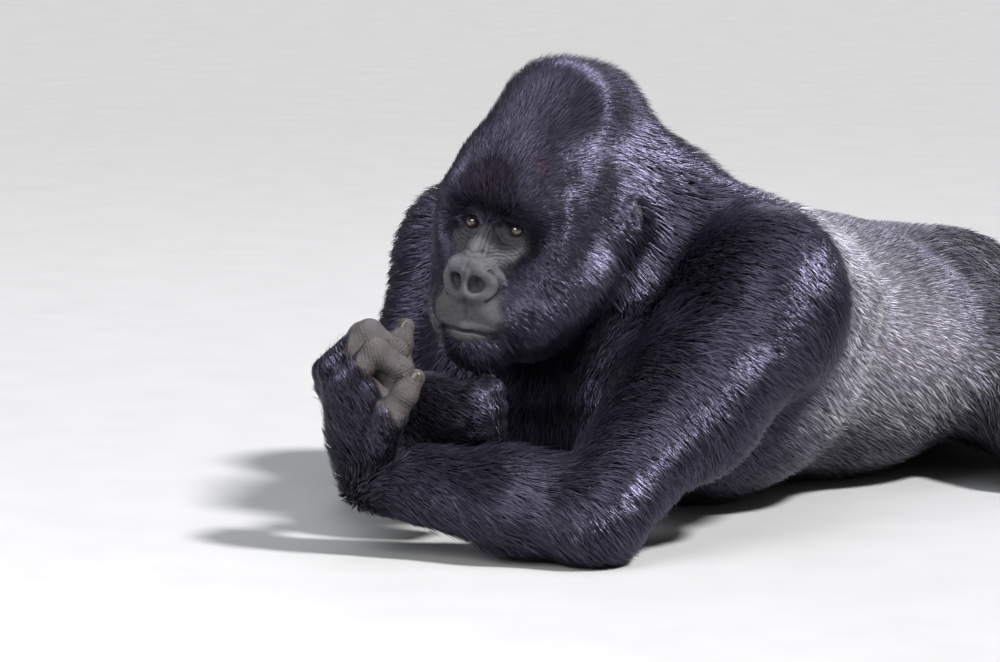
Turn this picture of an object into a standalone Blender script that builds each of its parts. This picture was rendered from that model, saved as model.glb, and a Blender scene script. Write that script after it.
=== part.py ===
"""Silverback mountain gorilla, life-size, resting on its belly and propped on its forearms.

The left forearm lies along the ground across the chest with the fist raised beside the chin, and
the right hand holds the chin from below.  The solids give the outline of the coat.  Every part of
the body is a short list of forms (rods and blobs, in centimetres) under one smooth blend, which is
meshed, thinned to a few hundred faces, parted at the joints and cut flat where it meets the ground.

Body frame: -Y is forward, +X is the animal's left, +Z is up, the ground is z = 0, and the origin
lies under the base of the neck until the last step moves it under the middle of the whole animal.
"""

import math
from dataclasses import dataclass

import bmesh
import bpy
import numpy as np
from mathutils import Euler, Matrix, Vector

CM = 0.01
GAP = 0.0006  # left between two neighbours that touch
EAR_GAP = 0.0014  # left round an ear, whose thin rim swells unevenly
TRIM = 0.02  # a piece is thinned with this much to spare past each cut
FLOOR = (Vector((0, 0, 0)), Vector((0, 0, -1)))

EYE_MIDPOINT = (0.35, -32.75, 41.0)
HEAD_TURN = (5.0, 6.5, 4.0)  # nose down, crest to the left, face to the left, in degrees
EYE_SPREAD = 3.25
EYE_RADIUS = 1.25
EYE_DEPTH = 0.2

SHOULDER = {"left": (23.2, -7.5, 30), "right": (-25.5, 1, 30)}
ELBOW = {"left": (20, -39, 6.5), "right": (-26, -20.5, 6.5)}
WRIST = {"left": (-6.6, -49.5, 10), "right": (-8, -39.5, 17.5)}
HIP = (12, 62, 18)
KNEE = (41, 44, 8.5)
ANKLE = (27, 71, 6)
TOES = (20, 93, 3.4)

COAT_COLOUR = (0.012, 0.011, 0.016)
SILVER_COLOUR = (0.16, 0.155, 0.16)
SKIN_COLOUR = (0.09, 0.08, 0.082)
EYE_COLOUR = (0.035, 0.014, 0.006)


# ---------------------------------------------------------------- forms and their blend


@dataclass(frozen=True)
class Rod:
    """A capsule that tapers from one end to the other."""

    start: tuple
    end: tuple
    start_radius: float
    end_radius: float
    coat: float = 0.0
    blend: float = 2.0
    hollow: bool = False

    def distance(self, points):
        start, axis = np.array(self.start, float), np.subtract(self.end, self.start)
        along = np.clip((points - start) @ axis / (axis @ axis), 0, 1)[:, None]
        radius = self.start_radius + (self.end_radius - self.start_radius) * along[:, 0]
        return np.linalg.norm(points - start - along * axis, axis=1) - radius - self.coat

    def balls(self):
        """Spheres whose hull is the rod, as centre and radii."""
        ends = ((self.start, self.start_radius), (self.end, self.end_radius))
        return [(Vector(centre), Vector.Fill(3, radius + self.coat)) for centre, radius in ends]

    def rotation(self):
        return Matrix.Identity(3)


@dataclass(frozen=True)
class Blob:
    """An ellipsoid, turned about its own centre."""

    centre: tuple
    radii: tuple
    turn: tuple = (0, 0, 0)
    coat: float = 0.0
    blend: float = 2.0
    hollow: bool = False

    def distance(self, points):
        radii = np.array(self.radii, float) + self.coat
        local = (points - np.array(self.centre, float)) @ np.array(self.rotation())
        far = np.linalg.norm(local / radii, axis=1)
        steep = np.linalg.norm(local / radii**2, axis=1)
        return far * (far - 1) / np.maximum(steep, 1e-6)

    def balls(self):
        return [(Vector(self.centre), Vector(self.radii) + Vector.Fill(3, self.coat))]

    def rotation(self):
        return Euler([math.radians(angle) for angle in self.turn]).to_matrix()


@dataclass(frozen=True)
class Group:
    """Forms that share a frame; a mirrored group repeats each form across its middle plane."""

    forms: list
    origin: tuple = (0, 0, 0)
    turn: tuple = (0, 0, 0)
    mirrored: bool = False
    blend: float = 2.0

    def rotation(self):
        pitch, roll, yaw = (math.radians(angle) for angle in self.turn)
        return (
            Matrix.Rotation(yaw, 3, "Z") @ Matrix.Rotation(pitch, 3, "X") @ Matrix.Rotation(roll, 3, "Y")
        )

    def placed(self, point):
        return Vector(self.origin) + self.rotation() @ Vector(point)

    def distance(self, points):
        local = (points - np.array(self.origin, float)) @ np.array(self.rotation())
        if self.mirrored:
            local[:, 0] = np.abs(local[:, 0])
        total = np.full(len(local), 1e3)
        for form in self.forms:
            gap = form.distance(local)
            if form.hollow:
                total = -smooth_least(-total, gap, form.blend)
            else:
                total = smooth_least(total, gap, form.blend)
        return total


def smooth_least(one, other, width):
    """The smaller of two distances, rounded over where they are about equal."""
    overlap = np.maximum(width - np.abs(one - other), 0)
    return np.minimum(one, other) - overlap**2 / (4 * width)


def distance_to(groups, points):
    total = groups[0].distance(points)
    for group in groups[1:]:
        total = smooth_least(total, group.distance(points), group.blend)
    return total


def rods(points, radii, **kinds):
    """One rod between each two neighbours of a line of points."""
    pairs = zip(points, points[1:], radii, radii[1:])
    return [Rod(start, end, one, two, **kinds) for start, end, one, two in pairs]


def toward(start, end, share):
    return tuple(a + (b - a) * share for a, b in zip(start, end))


# ---------------------------------------------------------------- the animal's forms


def head_forms():
    """Local frame: origin midway between the eyes, -Y out of the face, +Z to the crest."""
    skull = [
        Blob((0, 9.8, 2.6), (8.2, 10.3, 7.8), coat=1.4),
        Blob((4.0, 9.6, 4.0), (5.0, 8.2, 6.2), coat=1.4, blend=3),
        *rods([(0, 2.5, 5.6), (0, 8.5, 9.6), (0, 14.5, 11.8), (0, 21.6, 10.0)], [3.2, 4.2, 5.4, 6.4],
              coat=2.3, blend=4),
        Blob((0, 17, 0), (8.8, 8, 8.5), coat=2.0, blend=3),
    ]
    jowls = [
        Blob((5.4, 4.5, -4.6), (4.5, 6.0, 5.8), coat=1.4, blend=3),
        Rod((4.8, 1.5, -12.0), (7.6, 8.0, -7.5), 3.9, 4.4, coat=1.3, blend=3),
        Blob((0, 6.5, -12.5), (7.0, 8, 5.5), coat=1.2, blend=3),
        *rods([(8.2, 13.0, -1.5), (7.9, 10.5, -7.0), (6.2, 8.0, -12.3)], [1.2, 1.6, 1.7], coat=1.4, blend=1.5),
    ]
    face = [
        Blob((7.2, 2.8, -0.6), (2.2, 3.6, 3.4), coat=1.0, blend=2),
        Blob((0, 2.4, -1.6), (6.6, 3.3, 4.2), blend=2),
        Blob((3.4, 1.2, -5.2), (3.4, 4.0, 3.6), blend=2),
        *rods([(0, -1.0, 4.0), (4.2, -1.0, 4.0), (7.0, 1.8, 3.0)], [1.3, 1.5, 1.5], coat=0.6, blend=3),
        Blob((0, 3.4, 6.2), (6.4, 4.6, 4.4), coat=1.0, blend=3),
        Blob((0, -0.4, -9.2), (6.2, 5.8, 5.2), blend=3),
        Blob((3.1, -2.0, -10.8), (3.7, 4.1, 3.4), blend=2),
        Blob((0, -2.1, -14.2), (5.0, 5.2, 4.3), coat=0.3, blend=1.2),
        Rod((0, 0.0, 0.6), (0, -4.0, -4.4), 1.7, 2.4, blend=2.4),
    ]
    nose = [
        *rods([(0.6, -5.4, -4.4), (2.0, -5.5, -4.7), (3.0, -4.7, -6.2), (2.6, -5.0, -7.6), (0.8, -6.1, -8.0)],
              [1.3, 1.2, 1.1, 1.0, 0.9], blend=1.0),
        Rod((0, -6.5, -5.0), (0, -6.7, -7.6), 0.7, 0.7, blend=0.6),
        Blob((1.5, -6.8, -6.3), (1.0, 1.7, 1.15), turn=(0, 25, 0), blend=0.4, hollow=True),
    ]
    openings = [
        Blob((EYE_SPREAD, -1.9, 0.0), (2.1, 1.5, 1.35), blend=1.2, hollow=True),
        *rods([(0, -6.3, -12.4), (3.5, -5.5, -12.5), (6.3, -2.7, -13.0)], [0.35, 0.35, 0.3],
              blend=0.5, hollow=True),
    ]
    return skull + jowls + face + nose + openings


def trunk_forms():
    """Chest, belly and rump lie on the ground; the neck slopes up from the shoulders to the crest."""
    chest = [
        Blob((0, 8, 20.5), (27, 25, 20.5), coat=1.2, blend=3),
        Blob((0, 3, 29.5), (18, 18, 12.0), coat=1.2, blend=5),
        Blob((0, 20, 22.5), (19, 20, 17.5), coat=1.2, blend=5),
        Blob((16, 10, 27), (12, 16, 12), coat=1.2, blend=5),
        Blob((12, -13, 18), (12, 10, 12), coat=1.0, blend=5),
        Blob((19, 0, 28.5), (11, 12, 11), coat=1.2, blend=5),
    ]
    rear = [
        Blob((0, 37, 17.5), (29, 26, 18.6), coat=1.2, blend=6),
        Blob((0, 62, 16.0), (19, 20, 16.0), coat=1.2, blend=6),
        Blob((9, 74, 13.5), (10, 11, 11), coat=1.2, blend=4),
    ]
    neck = [
        Rod((0, 0, 32.5), (0, -17, 39), 13.5, 10.6, coat=1.6, blend=5),
        Rod((0, -13, 47.5), (0, 4, 35.5), 6.8, 7.5, coat=1.6, blend=5),
        Rod((0, -13, 46.5), (19, 3, 33.5), 6.0, 7.0, coat=1.6, blend=5),
        Rod((0, -14, 48.5), (4, 2, 41.5), 6.0, 6.0, coat=1.6, blend=5),
    ]
    return chest + rear + neck


def arm_forms(side):
    shoulder, elbow, wrist = SHOULDER[side], ELBOW[side], WRIST[side]
    out = 1 if side == "left" else -1
    deltoid = (shoulder[0] + 2.5 * out, shoulder[1] - 1, shoulder[2])
    triceps = np.add(toward(shoulder, elbow, 0.45), (1.5 * out, 2.0, 0))
    belly = toward(elbow, wrist, 0.35)
    return [
        Blob(deltoid, (9, 10.5, 11.5), coat=1.8),
        Rod(shoulder, elbow, 9.0, 5.4, coat=1.8, blend=4),
        Blob(tuple(triceps), (7.5, 8.5, 10), turn=(-35, 0, 0), coat=1.8, blend=4),
        *rods([elbow, belly, wrist], [5.4, 5.4, 3.6], coat=1.4, blend=3),
    ]


def digit(joints, radii):
    """A finger or a thumb: rods with a slightly wider ball at each bend."""
    knuckles = [Blob(joint, (radius * 1.08,) * 3, blend=0.4) for joint, radius in zip(joints[1:-1], radii[1:-1])]
    return rods(joints, radii, blend=0.5) + knuckles


def hand_forms(side):
    """A loose fist: the metacarpals fan out from the wrist and each finger curls over."""
    wrist = WRIST[side]
    if side == "left":
        knuckles = [(-7.0, -55.0, 22.4), (-9.3, -54.4, 24.0), (-11.4, -52.8, 23.4), (-12.6, -50.8, 21.4)]
        bends = [(-3.7, -52.6, 26.6), (-5.9, -51.2, 28.6), (-8.2, -49.6, 27.9), (-10.0, -48.2, 25.9)]
        ends = [(-1.4, -50.5, 24.3), (-3.5, -48.9, 26.2), (-5.3, -47.2, 25.8), (-7.6, -46.5, 24.3)]
        tips = [(-2.5, -50.9, 21.9), (-4.2, -49.0, 23.6), (-5.8, -47.3, 23.1), (-7.6, -46.9, 22.2)]
        thumb = [(-4.6, -51.6, 13.6), (-1.2, -53.2, 18.6), (0.6, -52.4, 21.6), (1.6, -51.4, 23.6)]
        palm = Blob((-6.6, -52.2, 18.4), (4.2, 3.4, 6.2), turn=(8, -10, 35), coat=0.5, blend=2)
        web = [Blob((-4.6, -53.4, 20.2), (2.5, 2.3, 3.4), turn=(0, -20, 0), coat=0.3, blend=1.5)]
    else:
        knuckles = [(1.8, -39.4, 19.6), (2.4, -39.5, 17.6), (2.1, -39.1, 15.7), (1.3, -38.3, 14.0)]
        bends = [(1.5, -35.6, 20.0), (2.1, -35.7, 18.0), (1.9, -35.5, 16.0), (1.3, -35.1, 14.4)]
        ends = [(-1.4, -35.4, 19.6), (-1.0, -35.4, 17.8), (-1.1, -35.3, 16.0), (-1.4, -35.2, 14.6)]
        tips = [(-1.8, -37.0, 19.4), (-1.5, -37.0, 17.6), (-1.6, -36.9, 16.0), (-1.8, -36.8, 14.8)]
        thumb = [(-9.4, -40.2, 18.8), (-7.9, -43.0, 23.2), (-7.6, -42.6, 26.2), (-7.2, -41.8, 28.2)]
        palm = Blob((-3.2, -40.2, 17.0), (5.6, 2.7, 4.4), turn=(0, 0, 5), coat=0.6, blend=2)
        web = []
    forms = [Rod(wrist, toward(wrist, knuckles[1], 0.35), 3.7, 3.5, coat=1.2, blend=2), palm, *web]
    for knuckle in knuckles:
        forms += [Rod(toward(wrist, knuckle, 0.25), knuckle, 1.7, 1.55, coat=0.5, blend=1.5)]
    for line in zip(knuckles, bends, ends, tips):
        forms += digit(line, [1.8, 1.7, 1.5, 1.15])
    return forms + digit(thumb, [2.4, 2.0, 1.6, 1.15])


def leg_forms():
    """The thigh is out to the side, the shin folds back under it, and the sole faces up."""
    calf = toward(KNEE, ANKLE, 0.35)
    return [
        Blob(HIP, (12, 12.5, 12.5), coat=1.3),
        Rod(HIP, KNEE, 11.0, 7.0, coat=1.5, blend=5),
        Blob(tuple(np.add(toward(HIP, KNEE, 0.45), (0, 3, 0))), (12, 9.5, 9.5), coat=1.4, blend=5),
        *rods([KNEE, calf, ANKLE], [6.4, 5.4, 3.8], coat=1.4, blend=3),
    ]


def foot_forms():
    """Lies on its upper side, sole up, with the big toe set apart towards the middle."""
    ankle, toes = np.array(ANKLE), np.array(TOES)
    heel = ankle + (1.0, 4.5, 2.2)
    ball = ankle + (toes - ankle) * 0.6
    forms = [
        Rod(ANKLE, tuple(heel), 3.9, 3.3, coat=0.5, blend=2),
        Rod(tuple(heel), tuple(ball + (2.4, 0, 0.6)), 3.1, 2.5, coat=0.3, blend=2.5),
        Rod(ANKLE, tuple(ball - (2.4, 0, 0)), 3.5, 2.5, coat=0.3, blend=2.5),
    ]
    for place in range(4):
        root = ball + (-2.6 + 2.1 * place, 1.0 - 0.7 * place, 0.2)
        tip = root + (toes - ball) * (0.95 - 0.09 * place) + (0.3 * place - 0.4, 0, 0.2)
        bend = (root + tip) / 2 + (0, 0, 0.7)
        width = 1.5 - 0.07 * place
        forms += digit([tuple(root), tuple(bend), tuple(tip)], [width * 1.1, width, width * 0.9])
    big_toe = [ball + (-3.8, -7.5, 0.6), ball + (-6.4, -3.4, 0.2), ball + (-7.4, 0.8, -0.2)]
    return forms + digit([tuple(joint) for joint in big_toe], [2.3, 1.9, 1.5])


def mirrored_group(forms, side, blend=2.0):
    """Forms drawn for the left side, or their mirror image on the right."""
    return Group([form if side == "left" else mirror(form) for form in forms], blend=blend)


def mirror(form):
    flip = (-1, 1, 1)
    if isinstance(form, Rod):
        start, end = (tuple(np.multiply(point, flip)) for point in (form.start, form.end))
        return Rod(start, end, form.start_radius, form.end_radius, form.coat, form.blend, form.hollow)
    turn = (form.turn[0], -form.turn[1], -form.turn[2])
    return Blob(tuple(np.multiply(form.centre, flip)), form.radii, turn, form.coat, form.blend, form.hollow)


# ---------------------------------------------------------------- meshes from forms


def seed_mesh(groups, name):
    """The forms themselves as overlapping closed shells, in metres."""
    built = bmesh.new()
    for group in groups:
        for form in group.forms:
            if form.hollow:
                continue
            shell = bmesh.new()
            for centre, radii in form.balls():
                turned = Matrix.Translation(centre) @ form.rotation().to_4x4()
                placed = turned @ Matrix.Diagonal((*radii, 1))
                bmesh.ops.create_icosphere(shell, subdivisions=3, radius=1, matrix=placed)
            hull = bmesh.ops.convex_hull(shell, input=shell.verts)
            inside = [item for item in hull["geom_interior"] if isinstance(item, bmesh.types.BMVert)]
            bmesh.ops.delete(shell, geom=inside, context="VERTS")
            frame = Matrix.Translation(Vector(group.origin)) @ group.rotation().to_4x4()
            for flip in (1, -1) if group.mirrored else (1,):
                copy = shell.copy()
                copy.transform(Matrix.Scale(CM, 4) @ frame @ Matrix.Diagonal((flip, 1, 1, 1)))
                if flip < 0:
                    bmesh.ops.reverse_faces(copy, faces=copy.faces)
                part = bpy.data.meshes.new("shell")
                copy.to_mesh(part)
                built.from_mesh(part)
                bpy.data.meshes.remove(part)
                copy.free()
            shell.free()
    mesh = bpy.data.meshes.new(name)
    built.to_mesh(mesh)
    built.free()
    return mesh


def applied(mesh, kind, **settings):
    """The mesh after one modifier."""
    maker = bpy.data.objects.new("maker", mesh)
    bpy.context.scene.collection.objects.link(maker)
    modifier = maker.modifiers.new(kind.title(), kind)
    for setting, value in settings.items():
        setattr(modifier, setting, value)
    graph = bpy.context.evaluated_depsgraph_get()
    result = bpy.data.meshes.new_from_object(maker.evaluated_get(graph))
    result.name = mesh.name
    bpy.data.objects.remove(maker)
    bpy.data.meshes.remove(mesh)
    return result


def settle(mesh, groups, rounds):
    """Moves each vertex along the slope of the blend until it lies on its surface."""
    nudge = 0.05
    points = np.empty(len(mesh.vertices) * 3)
    mesh.vertices.foreach_get("co", points)
    points = points.reshape(-1, 3) / CM
    for _ in range(rounds):
        height = distance_to(groups, points)
        slope = np.stack(
            [distance_to(groups, points + nudge * axis) - height for axis in np.eye(3)], axis=1
        ) / nudge
        step = -(height / np.maximum((slope**2).sum(axis=1), 0.25))[:, None] * slope
        points = points + np.clip(step, -1.0, 1.0)
    mesh.vertices.foreach_set("co", (points * CM).ravel())
    mesh.update()
    return mesh


def blended_mesh(groups, name, voxel):
    mesh = applied(seed_mesh(groups, name), "REMESH", mode="VOXEL", voxel_size=voxel)
    mesh = settle(mesh, groups, 3)
    mesh = applied(mesh, "REMESH", mode="VOXEL", voxel_size=voxel)
    return settle(mesh, groups, 2)


def cut(mesh, planes, spare=0.0):
    """The part of a closed mesh behind every plane, closed again with flat faces."""
    built = bmesh.new()
    built.from_mesh(mesh)
    for point, normal in planes:
        geometry = built.verts[:] + built.edges[:] + built.faces[:]
        bmesh.ops.bisect_plane(
            built, geom=geometry, dist=1e-7, plane_co=point + normal * spare, plane_no=normal, clear_outer=True
        )
        rim = [edge for edge in built.edges if edge.is_boundary]
        bmesh.ops.holes_fill(built, edges=rim)
    result = bpy.data.meshes.new(mesh.name)
    built.to_mesh(result)
    built.free()
    return result


def largest_body(mesh):
    """Drops the crumbs that a cut can leave beside the main body."""
    built = bmesh.new()
    built.from_mesh(mesh)
    left, bodies = set(built.verts), []
    while left:
        reached, body = [left.pop()], []
        while reached:
            vertex = reached.pop()
            body.append(vertex)
            for edge in vertex.link_edges:
                other = edge.other_vert(vertex)
                if other in left:
                    left.discard(other)
                    reached.append(other)
        bodies.append(body)
    for body in sorted(bodies, key=len)[:-1]:
        bmesh.ops.delete(built, geom=body, context="VERTS")
    built.to_mesh(mesh)
    built.free()
    return mesh


def piece(source, name, planes, faces):
    """One named part of a chain: cut out, thinned to about this many faces, and trimmed exactly."""
    rough = largest_body(cut(source, planes, TRIM))
    rough.calc_loop_triangles()
    ratio = min(1.0, faces / len(rough.loop_triangles))
    thinned = applied(rough, "DECIMATE", ratio=ratio)
    mesh = largest_body(cut(thinned, [(point - normal * GAP / 2, normal) for point, normal in planes]))
    mesh = cut(mesh, [FLOOR])
    mesh.name = name
    mesh.shade_smooth()
    mesh.set_sharp_from_angle(angle=math.radians(50))
    node = bpy.data.objects.new(name, mesh)
    bpy.context.scene.collection.objects.link(node)
    return node


def joint_plane(joint, before, after):
    """The plane that halves the angle at a joint; its normal points from one limb to the next."""
    point, one, other = (Vector(place) * CM for place in (joint, before, after))
    normal = ((other - point).normalized() - (one - point).normalized()).normalized()
    return point, normal


def flipped(plane):
    return plane[0], -plane[1]


def plane_through(point, normal):
    return Vector(point) * CM, Vector(normal).normalized()


def swollen(node, margin):
    """A cutter: the same shape, larger by the margin all round."""
    mesh = node.data.copy()
    built = bmesh.new()
    built.from_mesh(mesh)
    built.normal_update()
    for vertex in built.verts:
        vertex.co += vertex.normal * vertex.calc_shell_factor() * margin
    built.to_mesh(mesh)
    built.free()
    cutter = bpy.data.objects.new("cutter", mesh)
    bpy.context.scene.collection.objects.link(cutter)
    return cutter


def boxes_meet(node, other):
    corners = [np.array([vertex.co for vertex in item.data.vertices]) for item in (node, other)]
    low, high = (np.array([edge(points, axis=0) for points in corners]) for edge in (np.min, np.max))
    return bool((low.max(axis=0) < high.min(axis=0) + GAP).all())


def make_room(node, neighbour, margin=GAP):
    """Cuts the neighbour's shape, a little enlarged, out of the node."""
    cutter = swollen(neighbour, margin)
    modifier = node.modifiers.new("Room", "BOOLEAN")
    modifier.operation = "DIFFERENCE"
    modifier.solver = "EXACT"
    modifier.object = cutter
    graph = bpy.context.evaluated_depsgraph_get()
    result = bpy.data.meshes.new_from_object(node.evaluated_get(graph))
    node.modifiers.clear()
    result.name = node.name
    node.data = largest_body(result)
    bpy.data.objects.remove(cutter)


# ---------------------------------------------------------------- finish


def material(name, colour, roughness):
    made = bpy.data.materials.new(name)
    made.use_nodes = True
    made.diffuse_color = (*colour, 1)
    shader = made.node_tree.nodes["Principled BSDF"]
    shader.inputs["Base Color"].default_value = (*colour, 1)
    shader.inputs["Roughness"].default_value = roughness
    return made


def clear_scene():
    for item in list(bpy.data.objects):
        bpy.data.objects.remove(item)


# ---------------------------------------------------------------- the parts


HEAD_PLANE = plane_through((0, -16, 40), (0, -0.894, 0.447))
NECK_PLANE = plane_through((0, 5, 44), (0, -0.5, 0.866))
WAIST_PLANE = plane_through((0, 25, 20), (0, -1, 0))
LOIN_PLANE = plane_through((0, 51, 20), (0, -1, 0))


CORE_PARTS = ("head", "neck", "chest", "belly", "pelvis")


def build_core():
    """Head, neck and trunk from one blended surface."""
    head = Group(head_forms(), EYE_MIDPOINT, HEAD_TURN, mirrored=True, blend=2.5)
    trunk = Group(trunk_forms(), mirrored=True)
    core = blended_mesh([trunk, head], "core", 0.006)
    nodes = {
        "head": piece(core, "head", [flipped(HEAD_PLANE)], 1950),
        "neck": piece(core, "neck", [HEAD_PLANE, flipped(NECK_PLANE)], 240),
        "chest": piece(core, "chest", [NECK_PLANE, HEAD_PLANE, flipped(WAIST_PLANE)], 420),
        "belly": piece(core, "belly", [WAIST_PLANE, flipped(LOIN_PLANE)], 180),
        "pelvis": piece(core, "pelvis", [LOIN_PLANE], 280),
    }
    return nodes, head


def build_arm(side):
    groups = [Group(arm_forms(side)), Group(hand_forms(side), blend=2)]
    arm = blended_mesh(groups, side + "_arm", 0.004)
    shoulder, elbow, wrist = SHOULDER[side], ELBOW[side], WRIST[side]
    at_elbow = joint_plane(elbow, shoulder, wrist)
    fist = np.mean([form.centre for form in groups[1].forms if isinstance(form, Blob)], axis=0)
    at_wrist = joint_plane(wrist, elbow, fist)
    return {
        side + "_upper_arm": piece(arm, side + "_upper_arm", [at_elbow], 250),
        side + "_forearm": piece(arm, side + "_forearm", [flipped(at_elbow), at_wrist], 220),
        side + "_hand": piece(arm, side + "_hand", [flipped(at_wrist)], 680),
    }


def build_leg(side):
    groups = [mirrored_group(leg_forms(), side), mirrored_group(foot_forms(), side, blend=2)]
    leg = blended_mesh(groups, side + "_leg", 0.005)
    out = 1 if side == "left" else -1
    hip, knee, ankle, toes = (tuple(np.multiply(place, (out, 1, 1))) for place in (HIP, KNEE, ANKLE, TOES))
    at_knee = joint_plane(knee, hip, ankle)
    at_ankle = joint_plane(ankle, knee, toes)
    inner = plane_through((5 * out, 0, 0), (-out, 0, 0))
    before_hip = plane_through(toward(ankle, hip, 0.3), np.subtract(hip, ankle))
    return {
        side + "_thigh": piece(leg, side + "_thigh", [at_knee, inner], 230),
        side + "_shin": piece(leg, side + "_shin", [flipped(at_knee), at_ankle], 180),
        side + "_foot": piece(leg, side + "_foot", [flipped(at_ankle), before_hip], 400),
    }


def build_eye(side, head):
    """An eyeball that shows in its open socket."""
    out = 1 if side == "left" else -1
    built = bmesh.new()
    centre = head.placed((EYE_SPREAD * out, EYE_DEPTH, 0)) * CM
    bmesh.ops.create_icosphere(built, subdivisions=2, radius=EYE_RADIUS * CM, matrix=Matrix.Translation(centre))
    mesh = bpy.data.meshes.new(side + "_eye")
    built.to_mesh(mesh)
    built.free()
    mesh.shade_smooth()
    node = bpy.data.objects.new(side + "_eye", mesh)
    bpy.context.scene.collection.objects.link(node)
    return node


def build_ear(side, head):
    """A small round ear, cupped in front, half sunk in the coat."""
    forms = [
        Blob((11.2, 15.0, -0.2), (1.1, 1.9, 2.7), turn=(0, 0, -25)),
        Blob((12.4, 14.0, 0.2), (1.0, 1.1, 1.6), turn=(0, 0, -25), blend=0.5, hollow=True),
    ]
    if side == "right":
        forms = [mirror(form) for form in forms]
    group = Group(forms, head.origin, head.turn)
    ear = blended_mesh([group], side + "_ear", 0.0025)
    return piece(ear, side + "_ear", [], 120)


def main():
    clear_scene()
    nodes, head = build_core()
    for side in ("left", "right"):
        nodes |= build_arm(side)
        nodes |= build_leg(side)
        nodes[side + "_eye"] = build_eye(side, head)
        nodes[side + "_ear"] = build_ear(side, head)
    for core_part in CORE_PARTS:
        for name, node in nodes.items():
            if name not in CORE_PARTS and boxes_meet(nodes[core_part], node):
                make_room(nodes[core_part], node, EAR_GAP if name.endswith("_ear") else GAP)
    make_room(nodes["right_hand"], nodes["left_hand"])
    dress(nodes)
    centre_on_ground(nodes)


def dress(nodes):
    coat = material("black coat", COAT_COLOUR, 0.5)
    silver = material("silver coat", SILVER_COLOUR, 0.6)
    skin = material("bare skin", SKIN_COLOUR, 0.5)
    eye = material("eye", EYE_COLOUR, 0.05)
    kinds = {"eye": eye, "ear": skin, "hand": skin, "foot": skin, "belly": silver}
    for name, node in nodes.items():
        node.data.materials.clear()
        node.data.materials.append(kinds.get(name.split("_")[-1], coat))


def centre_on_ground(nodes):
    """Puts the origin under the middle of the whole animal."""
    corners = np.array([vertex.co for node in nodes.values() for vertex in node.data.vertices])
    middle = (corners.min(axis=0) + corners.max(axis=0)) / 2
    for node in nodes.values():
        node.data.transform(Matrix.Translation((-middle[0], -middle[1], 0)))


if __name__ == "__main__":
    main()
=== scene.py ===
"""Life-size silverback mountain gorilla: one skin, a coat of mesh tufts, eyes, nails and a studio.

Lengths are in centimetres in the body frame (-Y forward, +X the animal's left, +Z up, ground at
z = 0, origin under the base of the neck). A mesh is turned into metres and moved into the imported
model's frame when it is written.
"""

import logging
import math
from concurrent.futures import ThreadPoolExecutor
from dataclasses import dataclass, field
from enum import Enum

import bmesh
import bpy
import numpy as np
from mathutils import Euler, Matrix, Vector
from mathutils.bvhtree import BVHTree
from mathutils.kdtree import KDTree


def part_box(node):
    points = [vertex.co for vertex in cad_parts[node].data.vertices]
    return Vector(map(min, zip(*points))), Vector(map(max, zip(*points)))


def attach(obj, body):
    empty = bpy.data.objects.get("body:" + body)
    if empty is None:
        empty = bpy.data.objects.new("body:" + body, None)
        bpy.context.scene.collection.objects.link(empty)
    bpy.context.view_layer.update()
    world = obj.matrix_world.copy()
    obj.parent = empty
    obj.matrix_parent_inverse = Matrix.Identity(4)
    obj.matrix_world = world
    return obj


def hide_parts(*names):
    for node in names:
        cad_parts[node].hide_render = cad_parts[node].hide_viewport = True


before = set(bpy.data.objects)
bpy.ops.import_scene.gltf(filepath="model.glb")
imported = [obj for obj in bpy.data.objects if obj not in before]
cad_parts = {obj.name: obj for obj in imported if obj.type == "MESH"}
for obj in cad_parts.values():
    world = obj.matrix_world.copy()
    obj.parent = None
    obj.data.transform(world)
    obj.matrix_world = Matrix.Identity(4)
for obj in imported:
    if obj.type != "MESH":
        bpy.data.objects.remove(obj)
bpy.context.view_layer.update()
LOG = logging.getLogger("gorilla")

CM = 0.01
REACH = 8.0  # no form has a say further than this from its surface
FAR = 1e3  # a distance beyond every form
TINY = 1e-9  # keeps a length from being zero
NUDGE = 0.05  # step of a slope
SEED = 20
WORKERS = 4  # threads that share the distances
FEW = 4000  # fewer places than this are worked out in one thread
SKIN_LOW, TUFT_LOW = 0.05, 0.06  # how low the skin and the tufts may reach over the ground

Point = tuple[float, float, float]

EYE_MIDPOINT: Point = (0.35, -32.75, 41.0)
HEAD_TURN: Point = (5.0, 6.5, 4.0)
EYE_SPREAD, EYE_DEPTH = 3.25, 0.2
EAR: Point = (11.4, 14.3, 0.0)
HIP: Point = (12, 62, 18)
KNEE: Point = (41, 44, 8.5)
ANKLE: Point = (27, 71, 6)
TOES: Point = (20, 93, 3.4)


class Side(Enum):
    """A side of the animal; the value is the sign of x there."""

    LEFT = 1
    RIGHT = -1

    @property
    def word(self) -> str:
        """The side's name in lower case."""
        return self.name.lower()


class Kind(Enum):
    """What a part of the body is, which settles how its hair lies."""

    HEAD = "head"
    TRUNK = "trunk"
    UPPER_ARM = "upper arm"
    FOREARM = "forearm"
    HAND = "hand"
    THIGH = "thigh"
    SHIN = "shin"
    FOOT = "foot"


SHOULDER = {Side.LEFT: (23.2, -7.5, 30), Side.RIGHT: (-25.5, 1, 30)}
ELBOW = {Side.LEFT: (20, -39, 6.5), Side.RIGHT: (-26, -20.5, 6.5)}
WRIST = {Side.LEFT: (-6.6, -49.5, 10), Side.RIGHT: (-8, -39.5, 17.5)}


# ---------------------------------------------------------------- forms and their blend


def beside(points: np.ndarray, start: Point, end: Point) -> tuple[np.ndarray, np.ndarray]:
    """Where places lie against a straight piece of line.

    Args:
        points: Places, one row each.
        start: One end of the line.
        end: The other end.

    Returns:
        How far along each place is, from 0 to 1, and how far from the line.
    """
    start, axis = np.array(start, float), np.subtract(end, start)
    along = np.clip((points - start) @ axis / (axis @ axis), 0, 1)
    return along, np.linalg.norm(points - start - along[:, None] * axis, axis=1)


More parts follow.
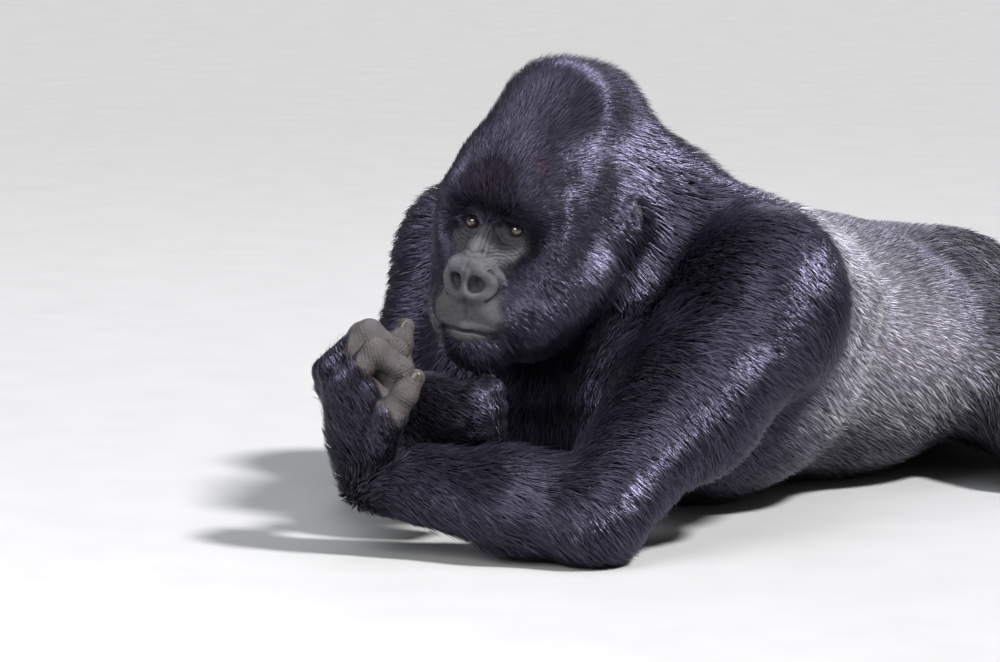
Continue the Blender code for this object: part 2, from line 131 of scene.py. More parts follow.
@dataclass(frozen=True)
class Rod:
    """A capsule that tapers from one end to the other."""

    start: Point
    end: Point
    start_radius: float
    end_radius: float
    coat: float = 0.0
    blend: float = 2.0
    hollow: bool = False

    def distance(self, points: np.ndarray, coat: float) -> np.ndarray:
        """Signed distance from the surface.

        Args:
            points: Places, one row each.
            coat: Share of the coat's depth that is added all round.

        Returns:
            One distance for each place, negative inside.
        """
        along, away = beside(points, self.start, self.end)
        radius = self.start_radius + (self.end_radius - self.start_radius) * along
        return away - radius - coat * self.coat

    def ball(self) -> tuple[np.ndarray, float]:
        """Centre and radius of a ball that holds the rod."""
        half = np.linalg.norm(np.subtract(self.end, self.start)) / 2
        return np.add(self.start, self.end) / 2, half + max(self.start_radius, self.end_radius) + self.coat

    def balls(self) -> list[tuple[Vector, Vector]]:
        """Spheres whose hull is the rod, as centre and radii."""
        ends = ((self.start, self.start_radius), (self.end, self.end_radius))
        return [(Vector(centre), Vector.Fill(3, radius)) for centre, radius in ends]

    def rotation(self) -> Matrix:
        """The rod's own turn, which is none."""
        return Matrix.Identity(3)

    def mirrored(self) -> "Rod":
        """The same rod across the middle plane."""
        start, end = across(self.start), across(self.end)
        return Rod(start, end, self.start_radius, self.end_radius, self.coat, self.blend, self.hollow)


@dataclass(frozen=True)
class Blob:
    """An ellipsoid, turned about its own centre."""

    centre: Point
    radii: Point
    turn: Point = (0, 0, 0)
    coat: float = 0.0
    blend: float = 2.0
    hollow: bool = False

    def distance(self, points: np.ndarray, coat: float) -> np.ndarray:
        """Signed distance from the surface, near enough.

        Args:
            points: Places, one row each.
            coat: Share of the coat's depth that is added all round.

        Returns:
            One distance for each place, negative inside.
        """
        radii = np.array(self.radii, float) + coat * self.coat
        local = (points - np.array(self.centre, float)) @ np.array(self.rotation())
        far = np.linalg.norm(local / radii, axis=1)
        steep = np.linalg.norm(local / radii**2, axis=1)
        return far * (far - 1) / np.maximum(steep, 1e-6)

    def ball(self) -> tuple[np.ndarray, float]:
        """Centre and radius of a ball that holds the blob."""
        return np.array(self.centre, float), max(self.radii) + self.coat

    def balls(self) -> list[tuple[Vector, Vector]]:
        """The blob itself, as centre and radii."""
        return [(Vector(self.centre), Vector(self.radii))]

    def rotation(self) -> Matrix:
        """The blob's own turn."""
        return Euler([math.radians(angle) for angle in self.turn]).to_matrix()

    def mirrored(self) -> "Blob":
        """The same blob across the middle plane."""
        turn = (self.turn[0], -self.turn[1], -self.turn[2])
        return Blob(across(self.centre), self.radii, turn, self.coat, self.blend, self.hollow)


Form = Rod | Blob


def across(point: Point) -> Point:
    """The point's mirror image across the middle plane."""
    return (-point[0], point[1], point[2])


def heading(start: Point, end: Point) -> np.ndarray:
    """The direction from one point to another, at length 1."""
    way = np.subtract(end, start)
    return way / np.linalg.norm(way)


def within(points: np.ndarray, centre: Point, radii: Point | float) -> np.ndarray:
    """How far out of an ellipsoid each place is: below 1 inside and above 1 outside."""
    return np.linalg.norm((points - centre) / radii, axis=1)


def glow(points: np.ndarray, places: list[Point], size: float) -> np.ndarray:
    """1 at any of the given places, falling to 0 round them."""
    return np.max([np.exp(-((points - place) ** 2).sum(axis=1) / (2 * size**2)) for place in places], axis=0)


def toward(start: Point, end: Point, share: float) -> Point:
    """The point that lies this share of the way from one point to another."""
    return tuple(a + (b - a) * share for a, b in zip(start, end))


def rods(points: list[Point], radii: list[float], **kinds: float) -> list[Rod]:
    """One rod between each two neighbours of a line of points."""
    return [Rod(a, b, one, two, **kinds) for a, b, one, two in zip(points, points[1:], radii, radii[1:])]


def smooth_least(one: np.ndarray, other: np.ndarray, width: float) -> np.ndarray:
    """The smaller of two distances, rounded over where they are about equal.

    Args:
        one: Distances.
        other: Distances at the same places.
        width: How far apart they may be and still be rounded.

    Returns:
        The blended distances.
    """
    overlap = np.maximum(width - np.abs(one - other), 0)
    return np.minimum(one, other) - overlap**2 / (4 * width)


def ease(value: np.ndarray, low: float, high: float) -> np.ndarray:
    """0 below low, 1 above high and a smooth rise between; low may be the larger."""
    share = np.clip((value - low) / (high - low), 0, 1)
    return share * share * (3 - 2 * share)


def unit(vectors: np.ndarray) -> np.ndarray:
    """Each row at length 1."""
    return vectors / np.maximum(np.linalg.norm(vectors, axis=1, keepdims=True), TINY)


def ripple(points: np.ndarray, size: float, seed: int) -> np.ndarray:
    """Smooth noise about -1 to 1 with bumps of about the given size.

    Args:
        points: Places, one row each.
        size: Width of a bump.
        seed: Which noise.

    Returns:
        One value for each place.
    """
    draw = np.random.default_rng(seed)
    total = np.zeros(len(points))
    waves, quickness, full_turn = 7, 2.2, 6.28
    for _ in range(waves):
        wave = draw.normal(size=3) * quickness / size
        total += np.sin(points @ wave + draw.uniform(0, full_turn))
    return total / (waves / 2)


@dataclass(frozen=True)
class Group:
    """Forms that share a frame; a mirrored group repeats each form across its middle plane."""

    forms: list[Form]
    origin: Point = (0, 0, 0)
    turn: Point = (0, 0, 0)
    both_sides: bool = False

    def rotation(self) -> Matrix:
        """The frame's turn: pitch about X and roll about Y, then yaw about Z."""
        pitch, roll, yaw = (math.radians(angle) for angle in self.turn)
        return Matrix.Rotation(yaw, 3, "Z") @ Matrix.Rotation(pitch, 3, "X") @ Matrix.Rotation(roll, 3, "Y")

    def placed(self, point: Point) -> Vector:
        """A local point in the body frame."""
        return Vector(self.origin) + self.rotation() @ Vector(point)

    def local(self, points: np.ndarray) -> np.ndarray:
        """Body points in the group's frame."""
        return (points - np.array(self.origin, float)) @ np.array(self.rotation())

    def distance(self, points: np.ndarray, coat: float = 0.0) -> np.ndarray:
        """Signed distance from the blend of the forms.

        Args:
            points: Places in the body frame.
            coat: 0 for the flesh, 1 for the outside of the coat.

        Returns:
            One distance for each place, large far from every form.
        """
        local = self.local(points)
        if self.both_sides:
            local[:, 0] = np.abs(local[:, 0])
        total = np.full(len(local), FAR)
        for form in self.forms:
            centre, radius = form.ball()
            near = ((local - centre) ** 2).sum(axis=1) < (radius + REACH) ** 2
            if not near.any():
                continue
            gap, now = form.distance(local[near], coat), total[near]
            if form.hollow:
                total[near] = -smooth_least(-now, gap, form.blend)
            else:
                total[near] = smooth_least(now, gap, form.blend)
        return total


# ---------------------------------------------------------------- the parts of the body


@dataclass(frozen=True)
class Strand:
    """The lie of the hair at one place of the head, in the head's frame."""

    place: Point
    way: Point
    length: float


@dataclass(frozen=True)
class Fold:
    """A crease in the face, drawn on the plane across the face."""

    line: list[tuple[float, float]]
    depth: float
    width: float

    def sink(self, across_face: np.ndarray) -> np.ndarray:
        """How far the skin sinks at each place of the face's plane."""
        away = np.min([beside(across_face, *ends)[1] for ends in zip(self.line, self.line[1:])], axis=0)
        return self.depth * np.exp(-((away / self.width) ** 2))


def arc(centre: tuple[float, float], radius: float, start: float, end: float, squash: float = 1.0) -> list:
    """Points along an arc on the face's plane; angles are in degrees from straight outwards."""
    angles = np.radians(np.linspace(start, end, 9))
    return [(centre[0] + radius * math.cos(a), centre[1] + radius * squash * math.sin(a)) for a in angles]


@dataclass
class BodyPart:
    """A part with its forms and the way its hair grows."""

    kind: Kind
    group: Group
    side: Side | None = None
    root: Point = (0, 0, 0)
    end: Point = (0, 0, 0)
    length: float = 4.0

    def flow(self, points: np.ndarray, normals: np.ndarray) -> np.ndarray:
        """Which way the hair points, before it is laid on the skin.

        Args:
            points: Places on the skin.
            normals: The skin's normals there; not used here, only by the parts that override this.

        Returns:
            One direction for each place.
        """
        return np.tile(heading(self.root, self.end), (len(points), 1)) + (0, 0, -0.3)

    def lengths(self, points: np.ndarray) -> np.ndarray:
        """Length of the hair at each place."""
        return np.full(len(points), self.length)

    def bareness(self, points: np.ndarray, normals: np.ndarray) -> np.ndarray:
        """0 where the hair is full and 1 on bare skin."""
        return np.zeros(len(points))

    def fluff(self, points: np.ndarray) -> np.ndarray:
        """How far the hair stands out, as a share of the coat's depth."""
        return np.ones(len(points))


FRINGE = [(9.8, 13.5, -0.5), (9.5, 10.8, -5.0), (8.6, 8.0, -9.5), (7.2, 5.5, -12.8)]
GROOVE = [(10.9, 18.2, -3.0), (9.9, 14.6, -8.0), (8.5, 11.5, -12.5), (7.0, 9.2, -16.0)]
# places where shade is painted on the hair beside the mouth
PAINTED_SHADE_BESIDE_MOUTH = [(6.2, -1.0, -9.5), (6.6, 1.0, -12.5)]
RUDDY_SPOTS = [((0.6, -1.5, 5.6), 0.9), ((-2.4, -1.5, 5.2), 0.8), ((4.6, 0.5, 7.5), 0.7)]


@dataclass
class Head(BodyPart):
    """Skull, face, nose, lids and ears; the frame starts midway between the eyes."""

    lid_radius: float = 1.5
    opening: Point = (1.62, 1.5, 0.97)
    folds: list[Fold] = field(default_factory=list)
    strands: list[Strand] = field(default_factory=list)

    @classmethod
    def make(cls) -> "Head":
        """The head with all its forms."""
        head = cls(Kind.HEAD, Group([]))
        head.group = Group(head.forms(), EYE_MIDPOINT, HEAD_TURN, both_sides=True)
        head.folds, head.strands = head.creases(), head.lie()
        return head

    def forms(self) -> list[Form]:
        """Every form of the head, flesh with its coat's depth beside it."""
        skull = [
            Blob((0, 9.8, 2.6), (8.2, 10.3, 7.8), coat=1.4),
            Blob((4.0, 9.6, 4.0), (5.0, 8.2, 6.2), coat=1.4, blend=3),
            *rods([(0, 2.5, 5.6), (0, 8.5, 9.6), (0, 14.5, 11.8), (0, 21.6, 10.0)], [3.2, 4.2, 5.4, 6.4],
                  coat=2.3, blend=4),
            Blob((0, 17, 0), (8.8, 8, 8.5), coat=2.0, blend=3),
        ]
        jowls = [
            Blob((5.4, 4.5, -4.6), (4.5, 6.0, 5.8), coat=1.4, blend=3),
            Rod((4.8, 1.5, -12.0), (7.6, 8.0, -7.5), 3.9, 4.4, coat=1.3, blend=3),
            Blob((0, 6.5, -12.5), (7.0, 8, 5.5), coat=1.2, blend=3),
            *rods([(8.2, 13.0, -1.5), (7.9, 10.5, -7.0), (6.2, 8.0, -12.3)], [1.2, 1.6, 1.7],
                  coat=1.4, blend=1.5),
        ]
        face = [
            Blob((7.2, 2.8, -0.6), (2.2, 3.6, 3.4), coat=1.0, blend=2),
            Blob((0, 2.4, -1.6), (6.6, 3.3, 4.2), blend=2),
            Blob((3.4, 1.2, -5.2), (3.4, 4.0, 3.6), blend=2),
            *rods([(0, -1.0, 4.0), (4.2, -1.0, 4.0), (7.0, 1.8, 3.0)], [1.3, 1.5, 1.5], coat=0.6, blend=3),
            Blob((0, 3.4, 6.2), (6.4, 4.6, 4.4), coat=1.0, blend=3),
            Blob((0, -0.4, -9.2), (6.2, 5.8, 5.2), blend=3),
            Blob((3.1, -2.0, -10.8), (3.7, 4.1, 3.4), blend=2),
            Blob((0, -2.1, -14.2), (5.0, 5.2, 4.3), coat=0.3, blend=1.2),
            Rod((0, 0.0, 0.6), (0, -4.0, -4.4), 1.7, 2.4, blend=2.4),
        ]
        wing = [(0.6, -5.4, -4.4), (2.0, -5.5, -4.7), (3.0, -4.7, -6.2), (2.6, -5.0, -7.6), (0.8, -6.1, -8.0)]
        nose = [
            *rods(wing, [1.3, 1.2, 1.1, 1.0, 0.9], blend=1.0),
            Rod((0, -6.5, -5.0), (0, -6.7, -7.6), 0.7, 0.7, blend=0.6),
            Blob((1.5, -6.8, -6.3), (1.0, 1.7, 1.15), turn=(0, 25, 0), blend=0.4, hollow=True),
            Blob((1.7, -5.5, -6.3), (0.75, 1.7, 0.85), turn=(0, 25, 0), blend=0.3, hollow=True),
        ]
        lids = [
            Blob((EYE_SPREAD, -1.9, 0.0), (2.1, 1.5, 1.35), blend=1.2, hollow=True),
            Blob((EYE_SPREAD, EYE_DEPTH, 0.0), (self.lid_radius,) * 3, blend=0.5),
            Blob((EYE_SPREAD, -1.5, -0.05), self.opening, turn=(0, 4, 0), blend=0.12, hollow=True),
        ]
        return skull + jowls + face + nose + lids + self.ear()

    def ear(self) -> list[Form]:
        """A small round ear with a rolled rim round its bowl."""
        rim = [(10.6, 13.6, -2.3), (11.7, 14.9, -1.4), (12.0, 15.6, 0.5), (11.4, 14.9, 2.2),
               (10.5, 13.4, 2.1)]
        return [
            Blob((10.9, 14.8, -0.2), (1.1, 1.9, 2.6), turn=(0, 0, -25), blend=0.8),
            *rods(rim, [0.34, 0.42, 0.42, 0.4, 0.32], blend=0.5),
            Blob((12.1, 13.9, 0.3), (1.1, 1.0, 1.5), turn=(0, 0, -25), blend=0.5, hollow=True),
            Rod((10.6, 13.0, -1.0), (11.0, 13.2, 0.0), 0.45, 0.35, blend=0.4),
        ]

    def creases(self) -> list[Fold]:
        """Folds round the eyes, nose and lips."""
        eye, wing = (EYE_SPREAD, 0.0), (2.1, -6.3)
        return [
            Fold([(0.0, -12.6), (1.4, -12.5), (3.2, -12.75), (4.6, -12.9), (5.9, -13.5)], 0.42, 0.2),
            Fold([(0.0, -13.6), (2.4, -13.6), (4.0, -13.9)], -0.06, 0.4),
            Fold([(0.0, -11.8), (2.6, -11.8), (4.2, -12.1)], -0.1, 0.35),
            Fold(arc(wing, 2.3, 60, -70), 0.26, 0.2),
            Fold(arc(wing, 2.7, 78, -25), 0.11, 0.11),
            Fold(arc(wing, 3.05, 85, -12), 0.1, 0.11),
            Fold(arc(wing, 3.4, 92, 0), 0.1, 0.11),
            Fold(arc(wing, 3.8, 95, 8), 0.09, 0.11),
            Fold(arc(wing, 4.2, 92, 15), 0.08, 0.11),
            Fold(arc(wing, 4.65, 88, 22), 0.07, 0.11),
            Fold(arc(eye, 1.75, 200, 330, 0.8), 0.12, 0.11),
            Fold(arc(eye, 2.05, 205, 330, 0.85), 0.1, 0.1),
            Fold(arc(eye, 2.4, 212, 328, 0.88), 0.08, 0.1),
            Fold(arc(eye, 2.8, 220, 325, 0.9), 0.07, 0.1),
            Fold(arc(eye, 3.25, 225, 320, 0.92), 0.06, 0.1),
            Fold(arc(eye, 1.8, 25, 160, 0.75), 0.12, 0.12),
            Fold([(1.15, 1.3), (0.95, -0.4), (1.15, -2.4)], 0.14, 0.14),
            Fold([(0.55, 1.2), (0.45, -0.6), (0.65, -2.2)], 0.1, 0.11),
            Fold([(1.7, -0.8), (1.6, -1.8), (1.9, -2.9)], 0.09, 0.11),
            Fold([(0.0, -2.5), (1.2, -2.2), (2.2, -2.6)], 0.1, 0.12),
            Fold([(0.0, -3.0), (1.2, -2.8), (2.0, -3.1)], 0.08, 0.12),
            Fold([(4.4, -7.6), (5.1, -9.2), (5.6, -11.0)], 0.1, 0.4),
            Fold([(0.0, -8.9), (0.0, -11.0)], 0.08, 0.25),
            Fold([(0.0, -4.2), (0.0, -5.8)], 0.1, 0.4),
            Fold([(0.0, -14.4), (2.4, -14.4), (4.4, -14.7)], 0.12, 0.35),
        ]

    def lie(self) -> list[Strand]:
        """The lie of the hair: up and back from the brow, back and down over the cheeks."""
        return [
            Strand((0, -2.0, 5.0), (0.25, 0.35, 1.0), 1.2),
            Strand((4.5, -2.0, 5.0), (0.6, 0.5, 0.9), 1.2),
            Strand((7.5, 0.5, 4.5), (0.8, 0.9, 0.5), 1.3),
            Strand((0, 3.0, 9.5), (0.1, 1.0, 0.8), 2.2),
            Strand((5, 5.0, 8.5), (0.4, 1.0, 0.4), 2.0),
            Strand((0, 9.0, 15.0), (0, 1.0, 0.4), 3.0),
            Strand((0, 18.0, 15.5), (0, 0.9, -0.5), 3.6),
            Strand((0, 23.0, 5.0), (0, 0.6, -1.0), 4.0),
            Strand((8.6, 4.0, 2.5), (0.3, 0.8, -0.5), 1.6),
            Strand((10, 11.0, 6.5), (0.1, 0.9, -0.5), 2.2),
            Strand((10, 10.0, -2.5), (0.15, 0.6, -0.8), 2.0),
            Strand((8.5, 1.5, -2.0), (0.4, 0.6, -0.7), 1.3),
            Strand((8.5, 3.5, -7.0), (0.3, 0.5, -0.85), 1.9),
            Strand((9.5, 8.0, -10.0), (0.2, 0.55, -0.85), 2.4),
            Strand((7.5, 9.0, -15.0), (0.1, 0.7, -1.0), 3.0),
            Strand((5.5, -2.0, -14.5), (0.5, 0.6, -0.9), 2.2),
            Strand((0, -4.0, -17.5), (0.1, 0.3, -1.0), 3.4),
            Strand((2.5, -7.0, -10.0), (0.9, 0.3, -0.4), 0.5),
            Strand((10, 17.0, -3.0), (0, 0.7, -0.9), 2.8),
            Strand((0, 5.0, -19.0), (0, 0.7, -0.8), 3.6),
            Strand((3.5, -1.5, -3.0), (0.9, 0.3, -0.5), 0.5),
        ]

    def blended(self, points: np.ndarray) -> tuple[np.ndarray, np.ndarray]:
        """Direction and length of the hair, each a blend of the nearest strands.

        Args:
            points: Places in the body frame.

        Returns:
            Directions in the body frame, and lengths.
        """
        local = self.group.local(points)
        side = np.where(local[:, 0] < 0, -1.0, 1.0)
        local[:, 0] = np.abs(local[:, 0])
        ways, lengths = np.zeros((len(points), 3)), np.zeros(len(points))
        total = np.full(len(points), TINY)
        for strand in self.strands:
            weight = glow(local, [strand.place], 3.2) + 1e-7
            ways += weight[:, None] * unit(np.array([strand.way], float))
            lengths += weight * strand.length
            total += weight
        ways[:, 0] *= side * ease(local[:, 0], -0.6, 0.8)
        return unit(ways) @ np.array(self.group.rotation()).T, lengths / total

    def flow(self, points: np.ndarray, normals: np.ndarray) -> np.ndarray:
        """Which way the hair points."""
        return self.blended(points)[0]

    def lengths(self, points: np.ndarray) -> np.ndarray:
        """Length of the hair at each place, short round the ears."""
        own = self.blended(points)[1] * (1 - 0.8 * self.by_ear(points))
        return own + 0.8 * self.near(points, FRINGE, 2.0)

    def by_ear(self, points: np.ndarray) -> np.ndarray:
        """1 in the notch in front of an ear, falling to 0 round it."""
        return self.near(points, [(10.9, 12.6, 0.0)], 2.5)

    def halved(self, points: np.ndarray) -> np.ndarray:
        """Body points in the head's frame, the right half laid over the left."""
        local = self.group.local(points)
        local[:, 0] = np.abs(local[:, 0])
        return local

    def near(self, points: np.ndarray, places: list[Point], size: float) -> np.ndarray:
        """1 at any of the given places of the head, falling to 0 round them on either side."""
        return glow(self.halved(points), places, size)

    def fluff(self, points: np.ndarray) -> np.ndarray:
        """The crest and the fringe of the jaw stand out; the hair behind them lies flat."""
        crest = ease(self.group.local(points)[:, 2], 8.0, 13.0)
        beard = self.near(points, [(0.0, -3.5, -17.5), (3.5, -2.0, -17.0)], 3.0)
        raised = 1 + 1.2 * crest + 0.8 * self.near(points, FRINGE, 1.9) + 1.6 * beard
        return raised * (1 - 0.8 * self.by_ear(points)) * (1 - 0.85 * self.near(points, GROOVE, 2.2))

    def bareness(self, points: np.ndarray, normals: np.ndarray) -> np.ndarray:
        """The bare mask of the face, thinning into the cheeks, and the ears."""
        local = self.halved(points)
        x, y, z = local.T
        ovals = [(-1.8, 6.5, 2.8), (-6.2, 5.2, 5.2), (-10.4, 6.2, 3.7)]
        inside = [np.sqrt(x**2 / wide**2 + (z - middle) ** 2 / high**2) for middle, wide, high in ovals]
        sharpness = 7
        joined = -np.log(np.sum(np.exp(-sharpness * np.array(inside)), axis=0)) / sharpness
        mask = ease(joined + 0.05 * ripple(points, 0.9, 51), 1.12, 0.62) * ease(y, 4.0, 1.5)
        chin = 0.42 * ease(np.hypot(x / 4.4, (z + 13.6) / 1.5), 1.15, 0.7) * ease(y, 1.0, -2.0)
        ear = ease(within(local, EAR, (1.6, 2.2, 3.0)), 1.1, 0.9) * ease(x, 10.2, 10.9)
        return np.maximum(np.maximum(mask, chin), ear)


@dataclass
class Trunk(BodyPart):
    """Chest, belly, rump and neck."""

    @classmethod
    def make(cls) -> "Trunk":
        """The trunk with all its forms."""
        chest = [
            Blob((0, 8, 20.5), (27, 25, 20.5), coat=1.2, blend=3),
            Blob((0, 3, 29.5), (18, 18, 12.0), coat=1.2, blend=5),
            Blob((0, 20, 22.5), (19, 20, 17.5), coat=1.2, blend=5),
            Blob((16, 10, 27), (12, 16, 12), coat=1.2, blend=5),
            Blob((12, -13, 18), (12, 10, 12), coat=1.0, blend=5),
            Blob((19, 0, 28.5), (11, 12, 11), coat=1.2, blend=5),
        ]
        rear = [
            Blob((0, 37, 17.5), (29, 26, 18.6), coat=1.2, blend=6),
            Blob((0, 62, 16.0), (19, 20, 16.0), coat=1.2, blend=6),
            Blob((9, 74, 13.5), (10, 11, 11), coat=1.2, blend=4),
        ]
        neck = [
            Rod((0, 0, 32.5), (0, -17, 39), 13.5, 10.6, coat=1.6, blend=5),
            Rod((0, -13, 47.5), (0, 4, 35.5), 6.8, 7.5, coat=1.6, blend=5),
            Rod((0, -13, 46.5), (19, 3, 33.5), 6.0, 7.0, coat=1.6, blend=5),
            Rod((0, -14, 48.5), (4, 2, 41.5), 6.0, 6.0, coat=1.6, blend=5),
        ]
        return cls(Kind.TRUNK, Group(chest + rear + neck, both_sides=True))

    def flow(self, points: np.ndarray, normals: np.ndarray) -> np.ndarray:
        """Back along the spine, down the flanks and down the throat."""
        side = np.clip(points[:, 0] / 8, -1, 1)
        steep = np.abs(normals[:, 0])
        front = ease(points[:, 1], 0, -14) * ease(points[:, 2], 44, 34)
        back = np.stack([0.35 * side, np.ones(len(points)), -0.2 - 0.7 * steep], axis=1)
        throat = np.stack([0.35 * side, np.full(len(points), 0.1), -np.ones(len(points))], axis=1)
        sway = 0.25 * ripple(points, 14, 3)[:, None] * np.array([[1.0, 0.2, 0.6]])
        return back + (throat - back) * front[:, None] + sway

    def lengths(self, points: np.ndarray) -> np.ndarray:
        """Long on the neck and shoulders, short over the silver back."""
        saddle = ease(points[:, 1], 4, 16)
        low = ease(points[:, 2], 22, 8)
        mane, short = 3.0, 1.0
        return mane + saddle * (short - mane) + saddle * low


@dataclass
class Arm(BodyPart):
    """A stretch of an arm; the forearm's hair runs up towards the elbow."""

    @classmethod
    def make(cls, side: Side) -> list["Arm"]:
        """The upper arm and the forearm of one side."""
        shoulder, elbow, wrist = SHOULDER[side], ELBOW[side], WRIST[side]
        deltoid = (shoulder[0] + 2.5 * side.value, shoulder[1] - 1, shoulder[2])
        triceps = np.add(toward(shoulder, elbow, 0.45), (1.5 * side.value, 2.0, 0))
        upper = [
            Blob(deltoid, (9, 10.5, 11.5), coat=1.8),
            Rod(shoulder, elbow, 9.0, 5.4, coat=1.8, blend=4),
            Blob(tuple(triceps), (7.5, 8.5, 10), turn=(-35, 0, 0), coat=1.8, blend=4),
        ]
        lower = rods([elbow, toward(elbow, wrist, 0.35), wrist], [5.4, 5.4, 3.6], coat=1.4, blend=3)
        return [
            cls(Kind.UPPER_ARM, Group(upper), side, shoulder, elbow, 3.0),
            cls(Kind.FOREARM, Group(lower), side, wrist, elbow, 4.0),
        ]

    def flow(self, points: np.ndarray, normals: np.ndarray) -> np.ndarray:
        """Down the upper arm and a little back; up the forearm and down its sides."""
        sway = 0.22 * ripple(points, 11, 5)[:, None] * np.array([[0.6, 1.0, 0.4]])
        if self.kind is Kind.FOREARM:
            return np.tile(heading(self.root, self.end) + (0, 0.1, -0.4), (len(points), 1)) + sway
        top = ease(points[:, 2], 7, 20)[:, None]
        out = self.side.value
        by_elbow, by_shoulder = np.array([[0.3 * out, 0.6, -0.7]]), np.array([[0.8 * out, 0.5, -0.6]])
        return by_elbow * (1 - top) + by_shoulder * top + sway

    def lengths(self, points: np.ndarray) -> np.ndarray:
        """Shorter towards the wrist."""
        if self.kind is Kind.UPPER_ARM:
            return np.full(len(points), self.length)
        away = np.linalg.norm(points - self.root, axis=1)
        return self.length * (0.45 + 0.55 * ease(away, 2, 14))


@dataclass
class Digit:
    """The bones of a finger, a thumb or a toe."""

    joints: list[Point]
    radii: list[float]
    knuckle: float = 1.08

    def forms(self) -> list[Form]:
        """Rods with a slightly wider ball at each bend."""
        bends = zip(self.joints[1:-1], self.radii[1:-1])
        knuckles = [Blob(joint, (radius * self.knuckle,) * 3, blend=0.4) for joint, radius in bends]
        return rods(self.joints, self.radii, blend=0.5) + knuckles

    def out_of_bend(self) -> np.ndarray:
        """The direction the nail faces: away from the curl, square to the last bone."""
        before = np.subtract(self.joints[-2], self.joints[-3])
        last = heading(self.joints[-2], self.joints[-1])
        out = before - (before @ last) * last
        return out / max(np.linalg.norm(out), 1e-6)


@dataclass
class Hand(BodyPart):
    """A loose fist with its digits kept apart for the nails."""

    digits: list[Digit] = field(default_factory=list)
    bare_group: Group = field(default_factory=lambda: Group([]))

    @classmethod
    def make(cls, side: Side) -> "Hand":
        """The fist of one side."""
        wrist = WRIST[side]
        if side is Side.LEFT:
            knuckles = [(-7.0, -55.0, 22.4), (-9.3, -54.4, 24.0), (-11.4, -52.8, 23.4), (-12.6, -50.8, 21.4)]
            bends = [(-3.7, -52.6, 26.6), (-5.9, -51.2, 28.6), (-8.2, -49.6, 27.9), (-10.0, -48.2, 25.9)]
            ends = [(-1.4, -50.5, 24.3), (-3.5, -48.9, 26.2), (-5.3, -47.2, 25.8), (-7.6, -46.5, 24.3)]
            tips = [(-2.5, -50.9, 21.9), (-4.2, -49.0, 23.6), (-5.8, -47.3, 23.1), (-7.6, -46.9, 22.2)]
            thumb = [(-4.6, -51.6, 13.6), (-1.2, -53.2, 18.6), (0.6, -52.4, 21.6), (1.6, -51.4, 23.6)]
            palm = Blob((-6.6, -52.2, 18.4), (4.2, 3.4, 6.2), turn=(8, -10, 35), coat=0.5, blend=2)
            web = [Blob((-4.6, -53.4, 20.2), (2.5, 2.3, 3.4), turn=(0, -20, 0), coat=0.3, blend=1.5)]
        else:
            knuckles = [(1.8, -39.4, 19.6), (2.4, -39.5, 17.6), (2.1, -39.1, 15.7), (1.3, -38.3, 14.0)]
            bends = [(1.5, -35.6, 20.0), (2.1, -35.7, 18.0), (1.9, -35.5, 16.0), (1.3, -35.1, 14.4)]
            ends = [(-1.4, -35.4, 19.6), (-1.0, -35.4, 17.8), (-1.1, -35.3, 16.0), (-1.4, -35.2, 14.6)]
            tips = [(-1.8, -37.0, 19.4), (-1.5, -37.0, 17.6), (-1.6, -36.9, 16.0), (-1.8, -36.8, 14.8)]
            thumb = [(-9.4, -40.2, 18.8), (-7.9, -43.0, 23.2), (-7.6, -42.6, 26.2), (-7.2, -41.8, 28.2)]
            palm = Blob((-3.2, -40.2, 17.0), (5.6, 2.7, 4.4), turn=(0, 0, 5), coat=0.6, blend=2)
            web = []
        forms = [Rod(wrist, toward(wrist, knuckles[1], 0.35), 3.7, 3.5, coat=1.2, blend=2), palm, *web]
        for knuckle in knuckles:
            forms += [Rod(toward(wrist, knuckle, 0.25), knuckle, 1.7, 1.55, coat=0.5, blend=1.5)]
        digits = [Digit(list(line), [1.8, 1.7, 1.5, 1.15]) for line in zip(knuckles, bends, ends, tips)]
        digits.append(Digit(thumb, [2.4, 2.0, 1.6, 1.15]))
        fingers = [form for one in digits for form in one.forms()]
        bare = []
        for one in digits:
            first, share = (1, 0.25) if one is digits[-1] else (0, 0.8) if side is Side.LEFT else (1, 0.5)
            start = toward(one.joints[first], one.joints[first + 1], share)
            bare += rods([start, *one.joints[first + 1 :]], one.radii[first:])
        part = cls(Kind.HAND, Group(forms + fingers), side, wrist, knuckles[1], 1.7)
        part.digits, part.bare_group = digits, Group(bare)
        return part

    def bareness(self, points: np.ndarray, normals: np.ndarray) -> np.ndarray:
        """Bare on the digits and the palm, haired on the back of the hand."""
        near = ease(self.bare_group.distance(points) + 0.35 * ripple(points, 1.1, 41), 0.75, -0.05)
        if self.side is Side.RIGHT:
            return near
        fingers = self.digits[:4]
        line = heading(self.root, fingers[1].joints[0])
        curl = np.mean([one.joints[step] for one in fingers for step in (1, 2, 3)], axis=0)
        back = np.mean([self.root] + [one.joints[0] for one in fingers], axis=0)
        palm = (curl - back) - ((curl - back) @ line) * line
        return np.maximum(near, ease(normals @ (palm / np.linalg.norm(palm)), 0.55, 0.85))


@dataclass
class Leg(BodyPart):
    """A stretch of a folded leg."""

    @classmethod
    def make(cls, side: Side) -> list["Leg"]:
        """The thigh and the shin of one side."""
        calf = toward(KNEE, ANKLE, 0.35)
        upper = [
            Blob(HIP, (12, 12.5, 12.5), coat=1.3),
            Rod(HIP, KNEE, 11.0, 7.0, coat=1.5, blend=5),
            Blob(tuple(np.add(toward(HIP, KNEE, 0.45), (0, 3, 0))), (12, 9.5, 9.5), coat=1.4, blend=5),
        ]
        lower = rods([KNEE, calf, ANKLE], [6.4, 5.4, 3.8], coat=1.4, blend=3)
        hip, knee, ankle = HIP, KNEE, ANKLE
        if side is Side.RIGHT:
            upper, lower = [form.mirrored() for form in upper], [form.mirrored() for form in lower]
            hip, knee, ankle = across(HIP), across(KNEE), across(ANKLE)
        return [
            cls(Kind.THIGH, Group(upper), side, hip, knee, 3.2),
            cls(Kind.SHIN, Group(lower), side, knee, ankle, 3.2),
        ]


